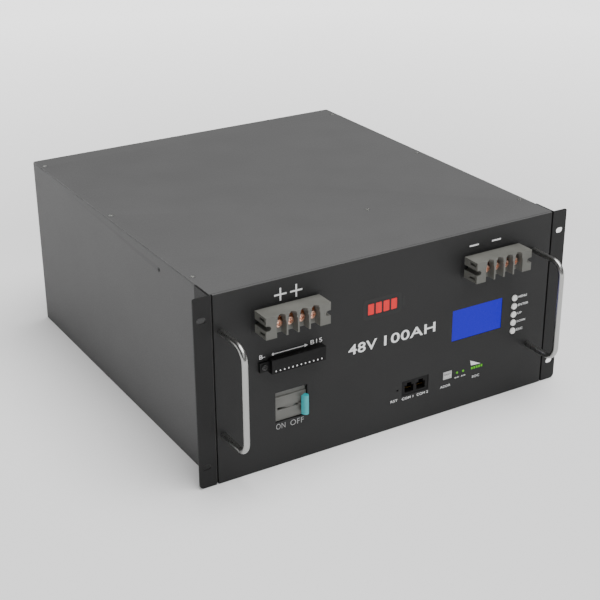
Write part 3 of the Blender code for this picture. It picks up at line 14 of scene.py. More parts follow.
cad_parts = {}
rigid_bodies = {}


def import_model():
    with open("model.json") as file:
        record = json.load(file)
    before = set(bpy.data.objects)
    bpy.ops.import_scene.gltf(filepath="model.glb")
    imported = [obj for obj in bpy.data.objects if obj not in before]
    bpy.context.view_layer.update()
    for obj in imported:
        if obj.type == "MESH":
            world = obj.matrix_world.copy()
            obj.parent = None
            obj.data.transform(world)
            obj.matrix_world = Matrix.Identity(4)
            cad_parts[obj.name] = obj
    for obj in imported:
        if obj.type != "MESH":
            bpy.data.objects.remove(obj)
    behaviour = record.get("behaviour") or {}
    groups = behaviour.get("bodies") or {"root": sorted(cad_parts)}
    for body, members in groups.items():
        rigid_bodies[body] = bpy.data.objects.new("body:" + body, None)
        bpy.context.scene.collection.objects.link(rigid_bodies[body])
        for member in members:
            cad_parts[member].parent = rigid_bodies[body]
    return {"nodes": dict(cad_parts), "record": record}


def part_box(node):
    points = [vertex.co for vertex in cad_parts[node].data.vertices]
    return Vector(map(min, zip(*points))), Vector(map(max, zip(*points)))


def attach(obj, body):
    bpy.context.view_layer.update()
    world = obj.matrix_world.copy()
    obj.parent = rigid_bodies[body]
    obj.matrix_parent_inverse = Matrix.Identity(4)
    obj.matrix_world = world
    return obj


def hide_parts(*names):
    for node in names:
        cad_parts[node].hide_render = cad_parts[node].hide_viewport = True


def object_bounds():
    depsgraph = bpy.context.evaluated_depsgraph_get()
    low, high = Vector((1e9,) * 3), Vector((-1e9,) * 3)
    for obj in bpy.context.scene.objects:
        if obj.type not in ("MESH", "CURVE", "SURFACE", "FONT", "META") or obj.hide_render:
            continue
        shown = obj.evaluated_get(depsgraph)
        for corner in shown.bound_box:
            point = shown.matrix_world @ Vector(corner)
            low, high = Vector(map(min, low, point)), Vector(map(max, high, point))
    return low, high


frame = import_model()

cad_low, cad_high = [np.array(corner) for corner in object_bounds()]
nodes = frame["nodes"]
record = frame["record"]
joints = {joint["name"]: joint for joint in record["behaviour"]["joints"]}
print("frame", len(nodes), "nodes, size in mm", np.round((cad_high - cad_low) * 1000, 1))

# %% [markdown]
# ## Colours and nodes
# Paint makers and screens give colours as sRGB hex values, while Cycles adds up light in linear
# values, so one function turns the first into the second. One more function adds a node, sets it
# and links it. Most finishes here are one recipe with their own numbers: a faint drift of tone, and
# a fine texture that both dulls and raises the surface.
# %% Colour and node helpers
MM = 0.001
LEAST, MOST = 0.35, 0.65        # nearly all of a noise's values lie between these two


def linear(hex_colour):
    """Undo the sRGB curve: low values are divided by 12.92, others are raised to the power 2.4."""
    parts = np.array([int(hex_colour[i:i + 2], 16) for i in (1, 3, 5)]) / 255
    values = np.where(parts <= 0.04045, parts / 12.92, ((parts + 0.055) / 1.055) ** 2.4)
    return (*(float(value) for value in values), 1.0)


def add(tree, kind, inputs=None, **settings):
    """Add a node; a socket given as an input is linked to it, and any other value is set on it."""
    node = tree.nodes.new(kind)
    for name, value in settings.items():
        setattr(node, name, value)
    for key, value in (inputs or {}).items():
        if isinstance(value, bpy.types.NodeSocket):
            tree.links.new(value, node.inputs[key])
        else:
            node.inputs[key].default_value = value
    return node


def start(name, colour, roughness, metallic=0.0, **other):
    """A new material, its Principled shader, and the object's own coordinates for patterns."""
    material = bpy.data.materials.new(name)
    material.use_nodes = True
    tree = material.node_tree
    shader = tree.nodes["Principled BSDF"]
    shader.inputs["Base Color"].default_value = linear(colour)
    shader.inputs["Roughness"].default_value = roughness
    shader.inputs["Metallic"].default_value = metallic
    for key, value in other.items():
        shader.inputs[key.replace("_", " ")].default_value = value
    place = add(tree, "ShaderNodeTexCoord").outputs["Object"]
    return material, tree, shader, place


def grain(tree, place, size, detail=2.0, stretch=(1, 1, 1)):
    """Noise whose spots are about size metres wide, drawn out along an axis by its stretch."""
    scale = [1 / (size * along) for along in stretch]
    scaled = add(tree, "ShaderNodeMapping", {"Vector": place, "Scale": scale}).outputs[0]
    noise = add(tree, "ShaderNodeTexNoise", {"Vector": scaled, "Scale": 1.0, "Detail": detail})
    return noise.outputs["Fac"]


def textured(name, first, second, roughness, patch, fine, gloss, bump, metallic=0.0, **other):
    """One noise mixes two tones; a finer one, or the same, sets the roughness and the height."""
    material, tree, shader, place = start(name, first, roughness, metallic, **other)
    cloud = grain(tree, place, *patch)
    texture = grain(tree, place, *fine) if fine else cloud
    share = add(tree, "ShaderNodeMapRange", {0: cloud, 1: LEAST, 2: MOST}).outputs[0]
    tone = add(tree, "ShaderNodeMix", {0: share, 6: linear(first), 7: linear(second)},
               data_type="RGBA").outputs[2]
    dull = add(tree, "ShaderNodeMapRange", {0: texture, 1: LEAST, 2: MOST, 3: roughness - gloss[0],
                                            4: roughness + gloss[1]}).outputs[0]
    raised = add(tree, "ShaderNodeBump", {"Height": texture, "Distance": bump[0],
                                          "Strength": bump[1]}).outputs[0]
    for value, socket in ((tone, "Base Color"), (dull, "Roughness"), (raised, "Normal")):
        tree.links.new(value, shader.inputs[socket])
    return material


print("mid grey is", np.round(linear("#808080")[0], 3), "in linear light")

# %% [markdown]
# ## Powder coat
# The sheet metal is sprayed with dry paint powder and baked. The melted grains leave a fine
# orange-peel surface with soft highlights, and a tone that drifts a little where the coat is
# thicker. The peel of the real coat is about 0.5 mm across; it is drawn 1.2 mm across so that it
# still shows at arm's length. The case is a mid grey, the front and the ears a near-black grey.
# %% Powder-coated steel


def powder_coat(name, colour, drift, roughness, shine):
    """A noise 60 mm wide drifts the tone, one 1.2 mm wide gives the peel and the gloss."""
    return textured(name, colour, drift, roughness, patch=(60 * MM, 3.0), fine=(1.2 * MM, 2.0),
                  gloss=(0.06, 0.08), bump=(0.06 * MM, 0.5), IOR=1.5, Specular_IOR_Level=shine)


CASE_GREY = "#585858"
case_paint = powder_coat("powder_coat_grey_steel", CASE_GREY, "#5A5A5A", 0.55, 0.25)
panel_paint = powder_coat("powder_coat_charcoal_steel", "#252525", "#272727", 0.50, 0.22)
ear_paint = powder_coat("powder_coat_near_black_steel", "#1F1F1F", "#212121", 0.50, 0.20)

# %% [markdown]
# The panel's sheet is 3 mm thick. Over its last 0.3 mm of height the panel takes the case's lighter
# grey:
# a painted highlight along its top edge, where the light from above falls.
# %% Painted highlight on the panel's top edge


def painted_edge_highlight(material, highlight_colour, height):
    """Mix a second colour in where z is above a height, as a painted highlight."""
    tree = material.node_tree
    shader = tree.nodes["Principled BSDF"]
    face_colour = shader.inputs["Base Color"].links[0].from_socket
    place = add(tree, "ShaderNodeTexCoord").outputs["Object"]
    z = add(tree, "ShaderNodeSeparateXYZ", {0: place}).outputs["Z"]
    above = add(tree, "ShaderNodeMath", {0: z, 1: height}, operation="GREATER_THAN").outputs[0]
    mixed = {0: above, 6: face_colour, 7: linear(highlight_colour)}
    mix = add(tree, "ShaderNodeMix", mixed, data_type="RGBA")
    tree.links.new(mix.outputs[2], shader.inputs["Base Color"])


# painted highlight: above this height the panel's top edge takes the case's lighter grey
PANEL_HIGHLIGHT_FROM = 218.7 * MM
painted_edge_highlight(panel_paint, CASE_GREY, PANEL_HIGHLIGHT_FROM)
print("the panel's edge is lighter above", PANEL_HIGHLIGHT_FROM, "m")

# %% [markdown]
# ## Metals
# Polished stainless bar mirrors the studio with fine lines left by the polishing belt, which ran
# along the bar. Zinc plating is duller and cloudier. Copper hardware is warm, with darker, browner
# patches where it has begun to tarnish.
# %% Polished, plated and copper metals


def polished_steel():
    """Belt lines 0.4 mm wide and 40 mm long vary the roughness and stand a few microns high."""
    material, tree, shader, place = start("polished_stainless_bar", "#A6A6A4", 0.28, 1.0)
    lines = grain(tree, place, 0.4 * MM, detail=1.0, stretch=(1, 1, 100))
    dull = add(tree, "ShaderNodeMapRange", {0: lines, 1: LEAST, 2: MOST, 3: 0.24, 4: 0.36})
    raised = add(tree, "ShaderNodeBump", {"Height": lines, "Distance": 0.01 * MM, "Strength": 0.3})
    tree.links.new(dull.outputs[0], shader.inputs["Roughness"])
    tree.links.new(raised.outputs[0], shader.inputs["Normal"])
    return material


def mottled_metal(name, colour, patch_colour, size, roughness):
    """Patches of a second colour, duller than the rest, with one noise for everything."""
    return textured(name, colour, patch_colour, roughness, patch=(size, 4.0), fine=None,
                  gloss=(0.08, 0.15), bump=(0.02 * MM, 0.3), metallic=1.0)


bar_steel = polished_steel()
zinc = mottled_metal("zinc_plated_steel", "#C4C4C0", "#A9AAA8", 3 * MM, 0.34)
screw_copper = mottled_metal("copper_plated_screw", "#E6BFAC", "#C9957A", 2 * MM, 0.36)
bar_copper = mottled_metal("bare_copper_bar", "#D08A66", "#A8623E", 6 * MM, 0.30)

# %% [markdown]
# ## Plastics and other finishes
# A moulding takes the fine matt texture of its mould, so every plastic here has the same recipe
# with its own colour, texture size and gloss. Films, boards and cable sheaths use it as well.
# %% Moulded and printed finishes


def moulding(name, colour, shade, roughness, texture=0.8 * MM, **other):
    """Mould texture as fine noise 0.03 mm high, and a faint second shade 25 mm wide."""
    return textured(name, colour, shade, roughness, patch=(25 * MM, 2.0), fine=(texture, 1.0),
                  gloss=(0.05, 0.07), bump=(0.03 * MM, 0.5), IOR=1.5, **other)


terminal_plastic = moulding("glass_filled_nylon_grey", "#64645F", "#5B5B56", 0.55)
black_plastic = moulding("moulded_black_polyester", "#0A0A0B", "#080808", 0.55,
                         Specular_IOR_Level=0.2)
breaker_plastic = moulding("moulded_breaker_grey", "#6A6A66", "#62625E", 0.50)
lever_plastic = moulding("moulded_lever_teal", "#2FA8AE", "#2A9CA2", 0.36)
key_plastic = moulding("moulded_key_white", "#F2F2EF", "#E6E6E2", 0.34)
switch_plastic = moulding("moulded_switch_grey", "#C9C9C9", "#BDBDBD", 0.45)
# black sheet behind the terminal blocks, as painted shadow
painted_shadow_black = moulding("painted_shadow_sheet_black", "#0B0B0C", "#101011", 0.70)
cell_film = moulding("blue_film_on_cells", "#1D4F9C", "#18458B", 0.35, texture=6 * MM)
carrier_plastic = moulding("orange_insulating_sheet", "#C8541C", "#B84A16", 0.50)
ceramic = moulding("glazed_fuse_ceramic", "#E6E2D6", "#DAD6CA", 0.25, Coat_Weight=0.4)
red_sheath = moulding("red_silicone_sheath", "#B01818", "#A01414", 0.55)
black_sheath = moulding("black_silicone_sheath", "#141414", "#101010", 0.55)
board_green = moulding("green_solder_mask", "#1A6B3A", "#14582F", 0.38, texture=2 * MM)
ink_white = moulding("screen_print_white", "#F2F2F2", "#E8E8E8", 0.60, texture=0.5 * MM)
ink_grey = moulding("screen_print_grey", "#A8A8A8", "#9C9C9C", 0.60, texture=0.5 * MM)
ink_black = moulding("screen_print_black", "#050505", "#080808", 0.55, texture=0.5 * MM)
ink_red = moulding("screen_print_red", "#F00C14", "#E40A12", 0.55, texture=0.5 * MM)


def lit(name, colour, glow, strength, roughness):
    """A clear piece with a lamp behind it: its own colour, plus light given off evenly."""
    material, tree, shader, place = start(name, colour, roughness, IOR=1.5)
    shader.inputs["Specular IOR Level"].default_value = 0.15
    shader.inputs["Emission Color"].default_value = linear(glow)
    shader.inputs["Emission Strength"].default_value = strength
    fine = grain(tree, place, 3 * MM)
    dull = add(tree, "ShaderNodeMapRange", {0: fine, 1: LEAST, 2: MOST, 3: roughness - 0.03,
                                            4: roughness + 0.05})
    tree.links.new(dull.outputs[0], shader.inputs["Roughness"])
    return material


display_blue = lit("backlit_blue_display", "#000006", "#2600FF", 0.6, 0.30)
lamp_green = lit("green_lamp_in_clear_guide", "#3F7A18", "#7CFF20", 0.35, 0.25)
print("materials so far:", len(bpy.data.materials))

# %% [markdown]
# ## Dress the frame's own pieces
# A piece of the frame whose shape is right keeps its mesh and only gets its finish here. Pieces
# that need rounder edges or more detail are replaced further on.
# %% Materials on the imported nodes
finish_of_slot = {
    "case_paint": case_paint, "panel_paint": panel_paint, "steel": zinc,
    "polished_steel": bar_steel, "copper": bar_copper, "terminal_plastic": terminal_plastic,
    "black_plastic": black_plastic, "breaker_plastic": breaker_plastic,
    "lever_plastic": lever_plastic, "display_glass": display_blue, "key_plastic": key_plastic,
    "switch_plastic": switch_plastic, "light_guide": lamp_green, "circuit_board": board_green,
    "cell_plastic": cell_film, "carrier_plastic": carrier_plastic, "fuse_ceramic": ceramic,
    "red_cable": red_sheath, "black_cable": black_sheath,
}
slot_of_node = {row["node"]: row["material_slot"] for row in record["subparts"]}


def dress(piece, material):
    """Give a piece one material."""
    piece.data.materials.clear()
    piece.data.materials.append(material)


def finish_of(name):
    """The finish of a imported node; the ears are a shade darker than the panel."""
    return ear_paint if name.startswith("rack_ear") else finish_of_slot[slot_of_node[name]]


for name, node in nodes.items():
    for position in range(max(1, len(node.material_slots))):
        if not node.material_slots:
            node.data.materials.append(finish_of(name))
        node.material_slots[position].material = finish_of(name)
print("dressed", len(nodes), "nodes")

# %% [markdown]
# ## From arrays to pieces
# Each new piece is a surface worked out as whole numpy arrays and handed to Blender in one go. A
# turned piece is a profile spun round an axis, a bar is a ring carried along a path, and both are
# the same thing: a grid of points whose rows are rings, closed by a cap at each end.
# %% Surface helpers


def corners(node):
    """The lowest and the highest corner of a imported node, as arrays."""
    return [np.array(corner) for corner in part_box(node)]


def piece_from(name, points, faces, material, body, smooth=35, replaced=()):
    """Put points and faces in a mesh, dress it, and let it ride on its body."""
    mesh = bpy.data.meshes.new(name)
    mesh.from_pydata(np.asarray(points).tolist(), [], [list(map(int, face)) for face in faces])
    return settle(name, mesh, material, body, smooth, replaced)


def settle(name, mesh, material, body, smooth=35, replaced=()):
    """Link a mesh as a finished piece at the origin: clean, facing out, dressed and riding."""
    bm = bmesh.new()
    bm.from_mesh(mesh)
    bmesh.ops.remove_doubles(bm, verts=bm.verts, dist=1e-7)
    bmesh.ops.recalc_face_normals(bm, faces=bm.faces)
    bm.to_mesh(mesh)
    bm.free()
    piece = bpy.data.objects.new(name, mesh)
    bpy.context.scene.collection.objects.link(piece)
    if smooth:
        mesh.shade_smooth()
        mesh.set_sharp_from_angle(angle=math.radians(smooth))
    dress(piece, material)
    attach(piece, body)
    if replaced:
        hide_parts(*replaced)
    return piece


def ring_faces(rows, sides):
    """Quads between neighbouring rings, and one cap face on the first and the last."""
    row, side = np.meshgrid(np.arange(rows - 1), np.arange(sides), indexing="ij")
    after = (side + 1) % sides
    quads = np.stack([row * sides + side, row * sides + after,
                      (row + 1) * sides + after, (row + 1) * sides + side], axis=-1).reshape(-1, 4)
    caps = [list(range(sides)), list(range((rows - 1) * sides, rows * sides))]
    return quads.tolist() + caps


def frame_of(direction):
    """The direction at length 1, and two directions square to it."""
    axis = np.array(direction, float) / np.linalg.norm(direction)
    helper = np.array([0, 0, 1.0]) if abs(axis[2]) < 0.9 else np.array([1.0, 0, 0])
    across = np.cross(axis, helper)
    across /= np.linalg.norm(across)
    return axis, across, np.cross(axis, across)


def turned(origin, direction, profile, sides=48):
    """Point = origin + axis * along + radius * (across * cos + over * sin), row by row."""
    axis, across, over = frame_of(direction)
    along, radius = np.array(profile, float).T
    angle = np.linspace(0, 2 * np.pi, sides, endpoint=False)
    spoke = np.cos(angle)[:, None] * across + np.sin(angle)[:, None] * over
    points = np.array(origin) + along[:, None, None] * axis + radius[:, None, None] * spoke
    return points.reshape(-1, 3), ring_faces(len(along), sides)


def carried(path, radius, sides=32):
    """Point = path point + radius * (side * cos + up * sin), both square to the path."""
    path = np.array(path, float)
    tangent = np.gradient(path, axis=0)
    tangent /= np.linalg.norm(tangent, axis=1)[:, None]
    side = np.cross(tangent, [1.0, 0, 0])
    side /= np.linalg.norm(side, axis=1)[:, None]
    up = np.cross(tangent, side)
    angle = np.linspace(0, 2 * np.pi, sides, endpoint=False)[None, :, None]
    ring = np.cos(angle) * side[:, None] + np.sin(angle) * up[:, None]
    points = path[:, None] + np.broadcast_to(radius, len(path))[:, None, None] * ring
    return points.reshape(-1, 3), ring_faces(len(path), sides)


def on_front(x, z, depth):
    """Points drawn on the front: x to the right, z up, depth behind the panel's face."""
    return np.stack([x, panel_face + depth, z], axis=-1)


def plate(outline, low_depth, high_depth):
    """A flat outline on the front, given at two depths, with a wall between them."""
    outline = np.array(outline, float)
    rows = [on_front(outline[:, 0], outline[:, 1], np.full(len(outline), depth))
            for depth in (low_depth, high_depth)]
    return np.concatenate(rows), ring_faces(2, len(outline))


def rounded(width, height, radius, corner_steps=6):
    """The outline of a rectangle about 0, 0 with round corners: four quarter circles, joined up."""
    turn = np.linspace(0, np.pi / 2, corner_steps)
    corners = []
    for number, (sx, sz) in enumerate([(1, 1), (-1, 1), (-1, -1), (1, -1)]):
        angle = turn + number * np.pi / 2
        corners.append(np.stack([sx * (width / 2 - radius) + radius * np.cos(angle),
                                 sz * (height / 2 - radius) + radius * np.sin(angle)], axis=-1))
    return np.concatenate(corners)


def merge(*shapes):
    """Several (points, faces) as one."""
    points, faces, count = [], [], 0
    for some_points, some_faces in shapes:
        points.append(np.asarray(some_points))
        faces += [[index + count for index in face] for face in some_faces]
        count += len(some_points)
    return np.concatenate(points), faces


panel_face = corners("front_panel")[0][1]
print("the panel's face is at y =", round(float(panel_face), 4))

# %% [markdown]
# ## Softened edges
# Folded sheet and moulded plastic never end in a knife edge: a corner 0.2 to 0.6 mm round catches a
# thin line of light, which is most of what makes a box look real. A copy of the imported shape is
# merged into a clean mesh, flat faces are joined up again, and a Bevel rounds its edges.
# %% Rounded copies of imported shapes


def softened(node, width):
    """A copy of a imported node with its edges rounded, riding where the node rides."""
    mesh = nodes[node].data.copy()
    bm = bmesh.new()
    bm.from_mesh(mesh)
    bmesh.ops.remove_doubles(bm, verts=bm.verts, dist=2e-6)
    bmesh.ops.dissolve_limit(bm, angle_limit=math.radians(1), verts=bm.verts, edges=bm.edges)
    bm.to_mesh(mesh)
    bm.free()
    piece = settle(node + "_shell", mesh, finish_of(node), body_of_node[node], 40, (node,))
    bevel = piece.modifiers.new("edge", "BEVEL")
    bevel.width = width
    bevel.segments = 2
    bevel.limit_method = "ANGLE"
    bevel.angle_limit = math.radians(40)
    bevel.use_clamp_overlap = True
    bevel.harden_normals = True


body_of_node = {node: body for body, members in record["behaviour"]["bodies"].items()
                for node in members}
edge_radii = {"top_cover": 0.35, "case_tray": 0.35, "rack_ear_left": 0.35, "rack_ear_right": 0.35,
              "positive_terminal_block": 0.45, "negative_terminal_block": 0.45,
              "breaker_body": 0.4, "breaker_lever": 0.6, "network_socket": 0.25,
              "dip_switch_body": 0.2}
for node, radius in edge_radii.items():
    softened(node, radius * MM)
print("softened the edges of", len(edge_radii), "pieces")

# %% [markdown]
# ## Handles
# Each handle is a round bar, bent twice and turned down to a stud at each foot. A ring of
# points carried along the bend line gives a bar that stays round through the bends. It has no
# collar at its feet, so the bar meets the panel square.
# %% Bent bar handles
HANDLE_BEND = 16 * MM
STUD_RADIUS = 2.5 * MM


def bent_bar(node):
    """Straight in from the foot, a quarter circle, the grip, a quarter circle, and back out."""
    low, high = corners(node)
    x, bar_radius = (low[0] + high[0]) / 2, (high[0] - low[0]) / 2
    reach = low[1] + bar_radius
    foot, head = low[2] + bar_radius, high[2] - bar_radius
    turn = np.linspace(0, np.pi / 2, 17)
    out, along = HANDLE_BEND * (1 - np.sin(turn)), HANDLE_BEND * (1 - np.cos(turn))
    upper = np.stack([reach + out, head - along], axis=-1).tolist()
    lower = np.stack([reach + out, foot + along], axis=-1).tolist()
    near = panel_face - 0.3 * MM
    ends = [high[1] - 0.1 * MM, near, near - 0.05 * MM]
    line = [(y, head) for y in ends] + upper + lower[::-1] + [(y, foot) for y in ends[::-1]]
    path = np.array([(x, y, z) for y, z in line])
    radius = np.full(len(path), bar_radius)
    radius[[0, 1, -1, -2]] = STUD_RADIUS
    return carried(path, radius)


for node in ("handle_left", "handle_right"):
    points, faces = bent_bar(node)
    piece_from(node + "_bar", points, faces, bar_steel, "case", 40, (node,))
print("handles made")

# %% [markdown]
# ## Screws
# A screw head is a set of rings from its middle to its rim. Where a ring crosses the driver's cross
# it sinks, so the recess is real geometry, with sloping walls like a struck one. The terminal
# screws have domed heads; the case screws are countersunk, flush with the sheet.
# %% Screws with a driver's cross


def driven_screw(top_point, outward, radius, dome, cross, sink, below):
    """Height = -dome * (r / R)^2, less the sink where min(|u|, |v|) is inside the cross."""
    sides = 64
    axis, across, over = frame_of(outward)
    angle = np.linspace(0, 2 * np.pi, sides, endpoint=False)
    ring = np.linspace(0.03, 1, 16)[:, None] * radius
    u, v = np.abs(ring * np.cos(angle)), np.abs(ring * np.sin(angle))
    wall = 0.3 * MM
    inside = np.clip((0.24 * cross - np.minimum(u, v)) / wall + 0.5, 0, 1)
    inside = inside * np.clip((cross - np.maximum(u, v)) / wall + 0.5, 0, 1)
    height = -dome * (ring / radius) ** 2 - sink * inside
    spoke = np.cos(angle)[:, None] * across + np.sin(angle)[:, None] * over
    head = top_point + height[..., None] * axis + ring[..., None] * spoke
    along, size = np.array(below, float).T
    rest = top_point + along[:, None, None] * axis + size[:, None, None] * spoke
    points = np.concatenate([head, rest])
    return points.reshape(-1, 3), ring_faces(len(points), sides)


TERMINAL_DOME, TERMINAL_CROSS, TERMINAL_SINK = 0.7 * MM, 2.6 * MM, 1.3 * MM
TERMINAL_HEAD, TERMINAL_SHANK = 3 * MM, 2.2 * MM
FORWARD = (0, -1, 0)
for pole in ("positive", "negative"):
    for number in range(1, 5):
        node = f"{pole}_terminal_screw_{number}"
        low, high = corners(node)
        front = np.array([(low[0] + high[0]) / 2, low[1], (low[2] + high[2]) / 2])
        radius, length = (high[0] - low[0]) / 2, high[1] - low[1]
        below = [(-0.9 * MM, radius), (-TERMINAL_HEAD, radius),
                 (-TERMINAL_HEAD, TERMINAL_SHANK), (-length, TERMINAL_SHANK)]
        points, faces = driven_screw(front, FORWARD, radius, TERMINAL_DOME, TERMINAL_CROSS,
                                     TERMINAL_SINK, below)
        piece_from(node + "_head", points, faces, screw_copper, "case", 35, (node,))

black_zinc = mottled_metal("black_zinc_screw", "#4A4A4A", "#3C3C3C", 2 * MM, 0.45)
case_screws = {f"cover_screw_{number}": ((0, 0, 1), zinc) for number in range(1, 8)}
case_screws["side_screw_left"] = ((-1, 0, 0), black_zinc)
case_screws["side_screw_right"] = ((1, 0, 0), black_zinc)
SUNK_HEAD, SUNK_SHANK, SUNK_CROSS, SUNK_SINK = 3 * MM, 1.5 * MM, 1.9 * MM, 0.8 * MM
for node, (outward, finish) in case_screws.items():
    low, high = corners(node)
    middle, out = (low + high) / 2, np.array(outward, float)
    length = float(abs(np.dot(high - low, out)))
    flush = middle + out * length / 2
    below = [(-0.15 * MM, SUNK_HEAD), (-1.3 * MM, SUNK_SHANK), (-length, SUNK_SHANK)]
    points, faces = driven_screw(flush, outward, SUNK_HEAD, 0.0, SUNK_CROSS, SUNK_SINK, below)
    piece_from(node + "_head", points, faces, finish, "case", 35, (node,))
print("screws made")

# %% [markdown]
# ## Menu keys
# A moulded cap with a shallow dish for the fingertip and a round edge, a collar that stops it
# behind the panel, and a stem to its switch. It is one profile spun round the key's own axis, and
# it rides on the key's body, so it moves when the key is pressed.
# %% Turned key caps
KEY_RADIUS, KEY_EDGE = 3.8 * MM, 0.7 * MM
DISH_RADIUS, DISH_DEPTH = 3.1 * MM, 0.25 * MM
COLLAR_FROM, COLLAR_TO, COLLAR_RADIUS, STEM_RADIUS = 5.1 * MM, 6.3 * MM, 4.7 * MM, 1.5 * MM


def key_profile(length):
    """Dish depth = 0.25 (1 - (r / R)^2); then a quarter-round edge, the collar and the stem."""
    r = np.linspace(0.02, 1, 8) * DISH_RADIUS
    dish = list(zip(DISH_DEPTH * (1 - (r / DISH_RADIUS) ** 2), r))
    turn = np.linspace(0, np.pi / 2, 6)
    rim = list(zip(KEY_EDGE * (1 - np.cos(turn)), KEY_RADIUS - KEY_EDGE * (1 - np.sin(turn))))
    collar = [(COLLAR_FROM, KEY_RADIUS), (COLLAR_FROM, COLLAR_RADIUS),
              (COLLAR_TO, COLLAR_RADIUS), (COLLAR_TO, STEM_RADIUS)]
    return dish + rim + collar + [(length, STEM_RADIUS)]


for number in range(1, 6):
    node = f"menu_key_{number}"
    low, high = corners(node)
    front = ((low[0] + high[0]) / 2, low[1], (low[2] + high[2]) / 2)
    points, faces = turned(front, (0, 1, 0), key_profile(high[1] - low[1]))
    piece_from(node + "_cap", points, faces, key_plastic, node, 50, (node,))
print("keys made")

# %% [markdown]
# ## Breaker lever
# The lever is a thin sector that fills the slot in the breaker's nose and a paddle for the thumb.
# On the real one the sector is moulded in the grey of the nose and the paddle in teal, so the
# colour is chosen by the distance from the pin that it turns on.
# %% Lever coloured by distance from its pin
pin = np.array(joints["breaker_lever_turn"]["pos_m"])
GREY_TO, TEAL_FROM = 30.4 * MM, 30.6 * MM


def lever_finish():
    """Distance from the pin's axis picks grey inside 30.5 mm and teal outside."""
    material, tree, shader, place = start("two_shot_moulding_grey_and_teal", "#5FBFC6", 0.36,
                                          IOR=1.5)
    from_pin = add(tree, "ShaderNodeMapping", {"Vector": place, "Scale": [1.0, 1.0, 0.0],
                                              "Location": [-pin[0], -pin[1], 0.0]}).outputs[0]
    away = add(tree, "ShaderNodeVectorMath", {0: from_pin}, operation="LENGTH").outputs["Value"]
    outside = add(tree, "ShaderNodeMapRange", {0: away, 1: GREY_TO, 2: TEAL_FROM}).outputs[0]
    tone = add(tree, "ShaderNodeMix", {0: outside, 6: linear("#62625E"), 7: linear("#2FA8AE")},
               data_type="RGBA")
    dull = add(tree, "ShaderNodeMapRange", {0: grain(tree, place, 0.8 * MM), 1: LEAST, 2: MOST,
                                            3: 0.32, 4: 0.46})
    tree.links.new(tone.outputs[2], shader.inputs["Base Color"])
    tree.links.new(dull.outputs[0], shader.inputs["Roughness"])
    return material


dress(bpy.data.objects["breaker_lever_shell"], lever_finish())
print("lever dressed")

# %% [markdown]
# ## Balance connector
# A black header with twelve contacts along its foot and a fixing ear at its left end. The contacts
# show as small bright ends in their holes, and a screw holds the ear.
# %% Header contacts and ear screw
softened("balance_connector", 0.5 * MM)
low, high = corners("balance_connector")
CONTACTS, PITCH, END_WALLS = 12, 5.08 * MM, 5 * MM
header_middle = high[0] - (CONTACTS * PITCH + END_WALLS) / 2
contact_z = low[2] + 2.6 * MM
contact = [(0, 0.02 * MM), (0, 0.7 * MM), (0.15 * MM, 0.9 * MM), (2.9 * MM, 0.9 * MM)]
pins = []
for way in range(CONTACTS):
    x = header_middle + PITCH * (way - (CONTACTS - 1) / 2)
    pins.append(turned((x, low[1] + 0.05 * MM, contact_z), (0, 1, 0), contact, 20))
points, faces = merge(*pins)
piece_from("balance_contacts", points, faces, ink_white, "case", 35)
seat = np.array([low[0] + 5.6 * MM, panel_face - 4.8 * MM, (low[2] + high[2]) / 2])
EAR_HEAD = 3.4 * MM
below = [(-0.9 * MM, EAR_HEAD), (-1.0 * MM, EAR_HEAD - 0.2 * MM)]
points, faces = driven_screw(seat, FORWARD, EAR_HEAD, 0.5 * MM, 2.0 * MM, 0.8 * MM, below)
piece_from("balance_ear_screw", points, faces, black_zinc, "case", 35)
print("header has", CONTACTS, "contacts")

# %% [markdown]
# ## Network jacks
# Inside each jack, eight gold-plated springs rise towards the mouth and fall away to the back.
# They are thin bars carried along one curved line and repeated at the standard 1.02 mm.
# %% Jack contacts
gold = mottled_metal("gold_plated_contact", "#D8B25A", "#C09A45", 1 * MM, 0.25)
low, high = corners("network_socket")
JACK_OFFSET, WAYS, WAY_PITCH, SPRING_RADIUS = 8 * MM, 8, 1.02 * MM, 0.25 * MM
SPRING_RISE = 4.2 * MM
socket_middle = (low[0] + high[0]) / 2
spring_foot = (low[2] + high[2]) / 2 - 5.3 * MM
depth = np.linspace(3.0, 12.2, 8) * MM
share = (depth - depth[0]) / (depth[-1] - depth[0])
rise = spring_foot + SPRING_RISE * (1 - share) ** 1.5
springs = []
for side in (-1, 1):
    for way in range(WAYS):
        x = socket_middle + side * JACK_OFFSET + WAY_PITCH * (way - (WAYS - 1) / 2)
        line = np.stack([np.full(len(depth), x), panel_face + depth, rise], axis=-1)
        springs.append(carried(line, SPRING_RADIUS, 8))
points, faces = merge(*springs)
piece_from("jack_contacts", points, faces, gold, "case", 50)
print(len(springs), "springs in the jacks")

# %% [markdown]
# ## Dark sheets painted as shadow round the terminal blocks
# Behind each terminal block lies a thin black sheet, a little larger than the block: a painted
# shadow, standing for the soft shade round the block. A rounded outline is given a thickness of
# 0.24 mm.
# %% Painted shadow sheets behind the terminal blocks
SHADOW_SHEET_BORDER, SHADOW_SHEET_FRONT, SHADOW_SHEET_BACK = 3.5 * MM, -0.26 * MM, -0.02 * MM
for pole in ("positive", "negative"):
    low, high = corners(pole + "_terminal_block")
    wide, _, tall = high - low + 2 * SHADOW_SHEET_BORDER
    outline = rounded(wide, tall, 2 * MM) + ((low + high) / 2)[[0, 2]]
    points, faces = plate(outline, SHADOW_SHEET_FRONT, SHADOW_SHEET_BACK)
    # a dark sheet painted in as the shadow round each block
    piece_from(pole + "_terminal_seat", points, faces, painted_shadow_black, "case", 0)
print("terminal seats made")

# %% [markdown]
# ## Printing on the panel
# The legends are screen printed: a film of ink with sharp edges. Letters come from Blender's own
# font, are made a mesh, and are then fitted into the rectangle that they fill on the panel, as a
# film 0.08 mm thick. The signs and the battery symbol are outlines worked out here.
# %% Ink helpers
INK_FRONT, INK_BACK = -0.10 * MM, -0.02 * MM


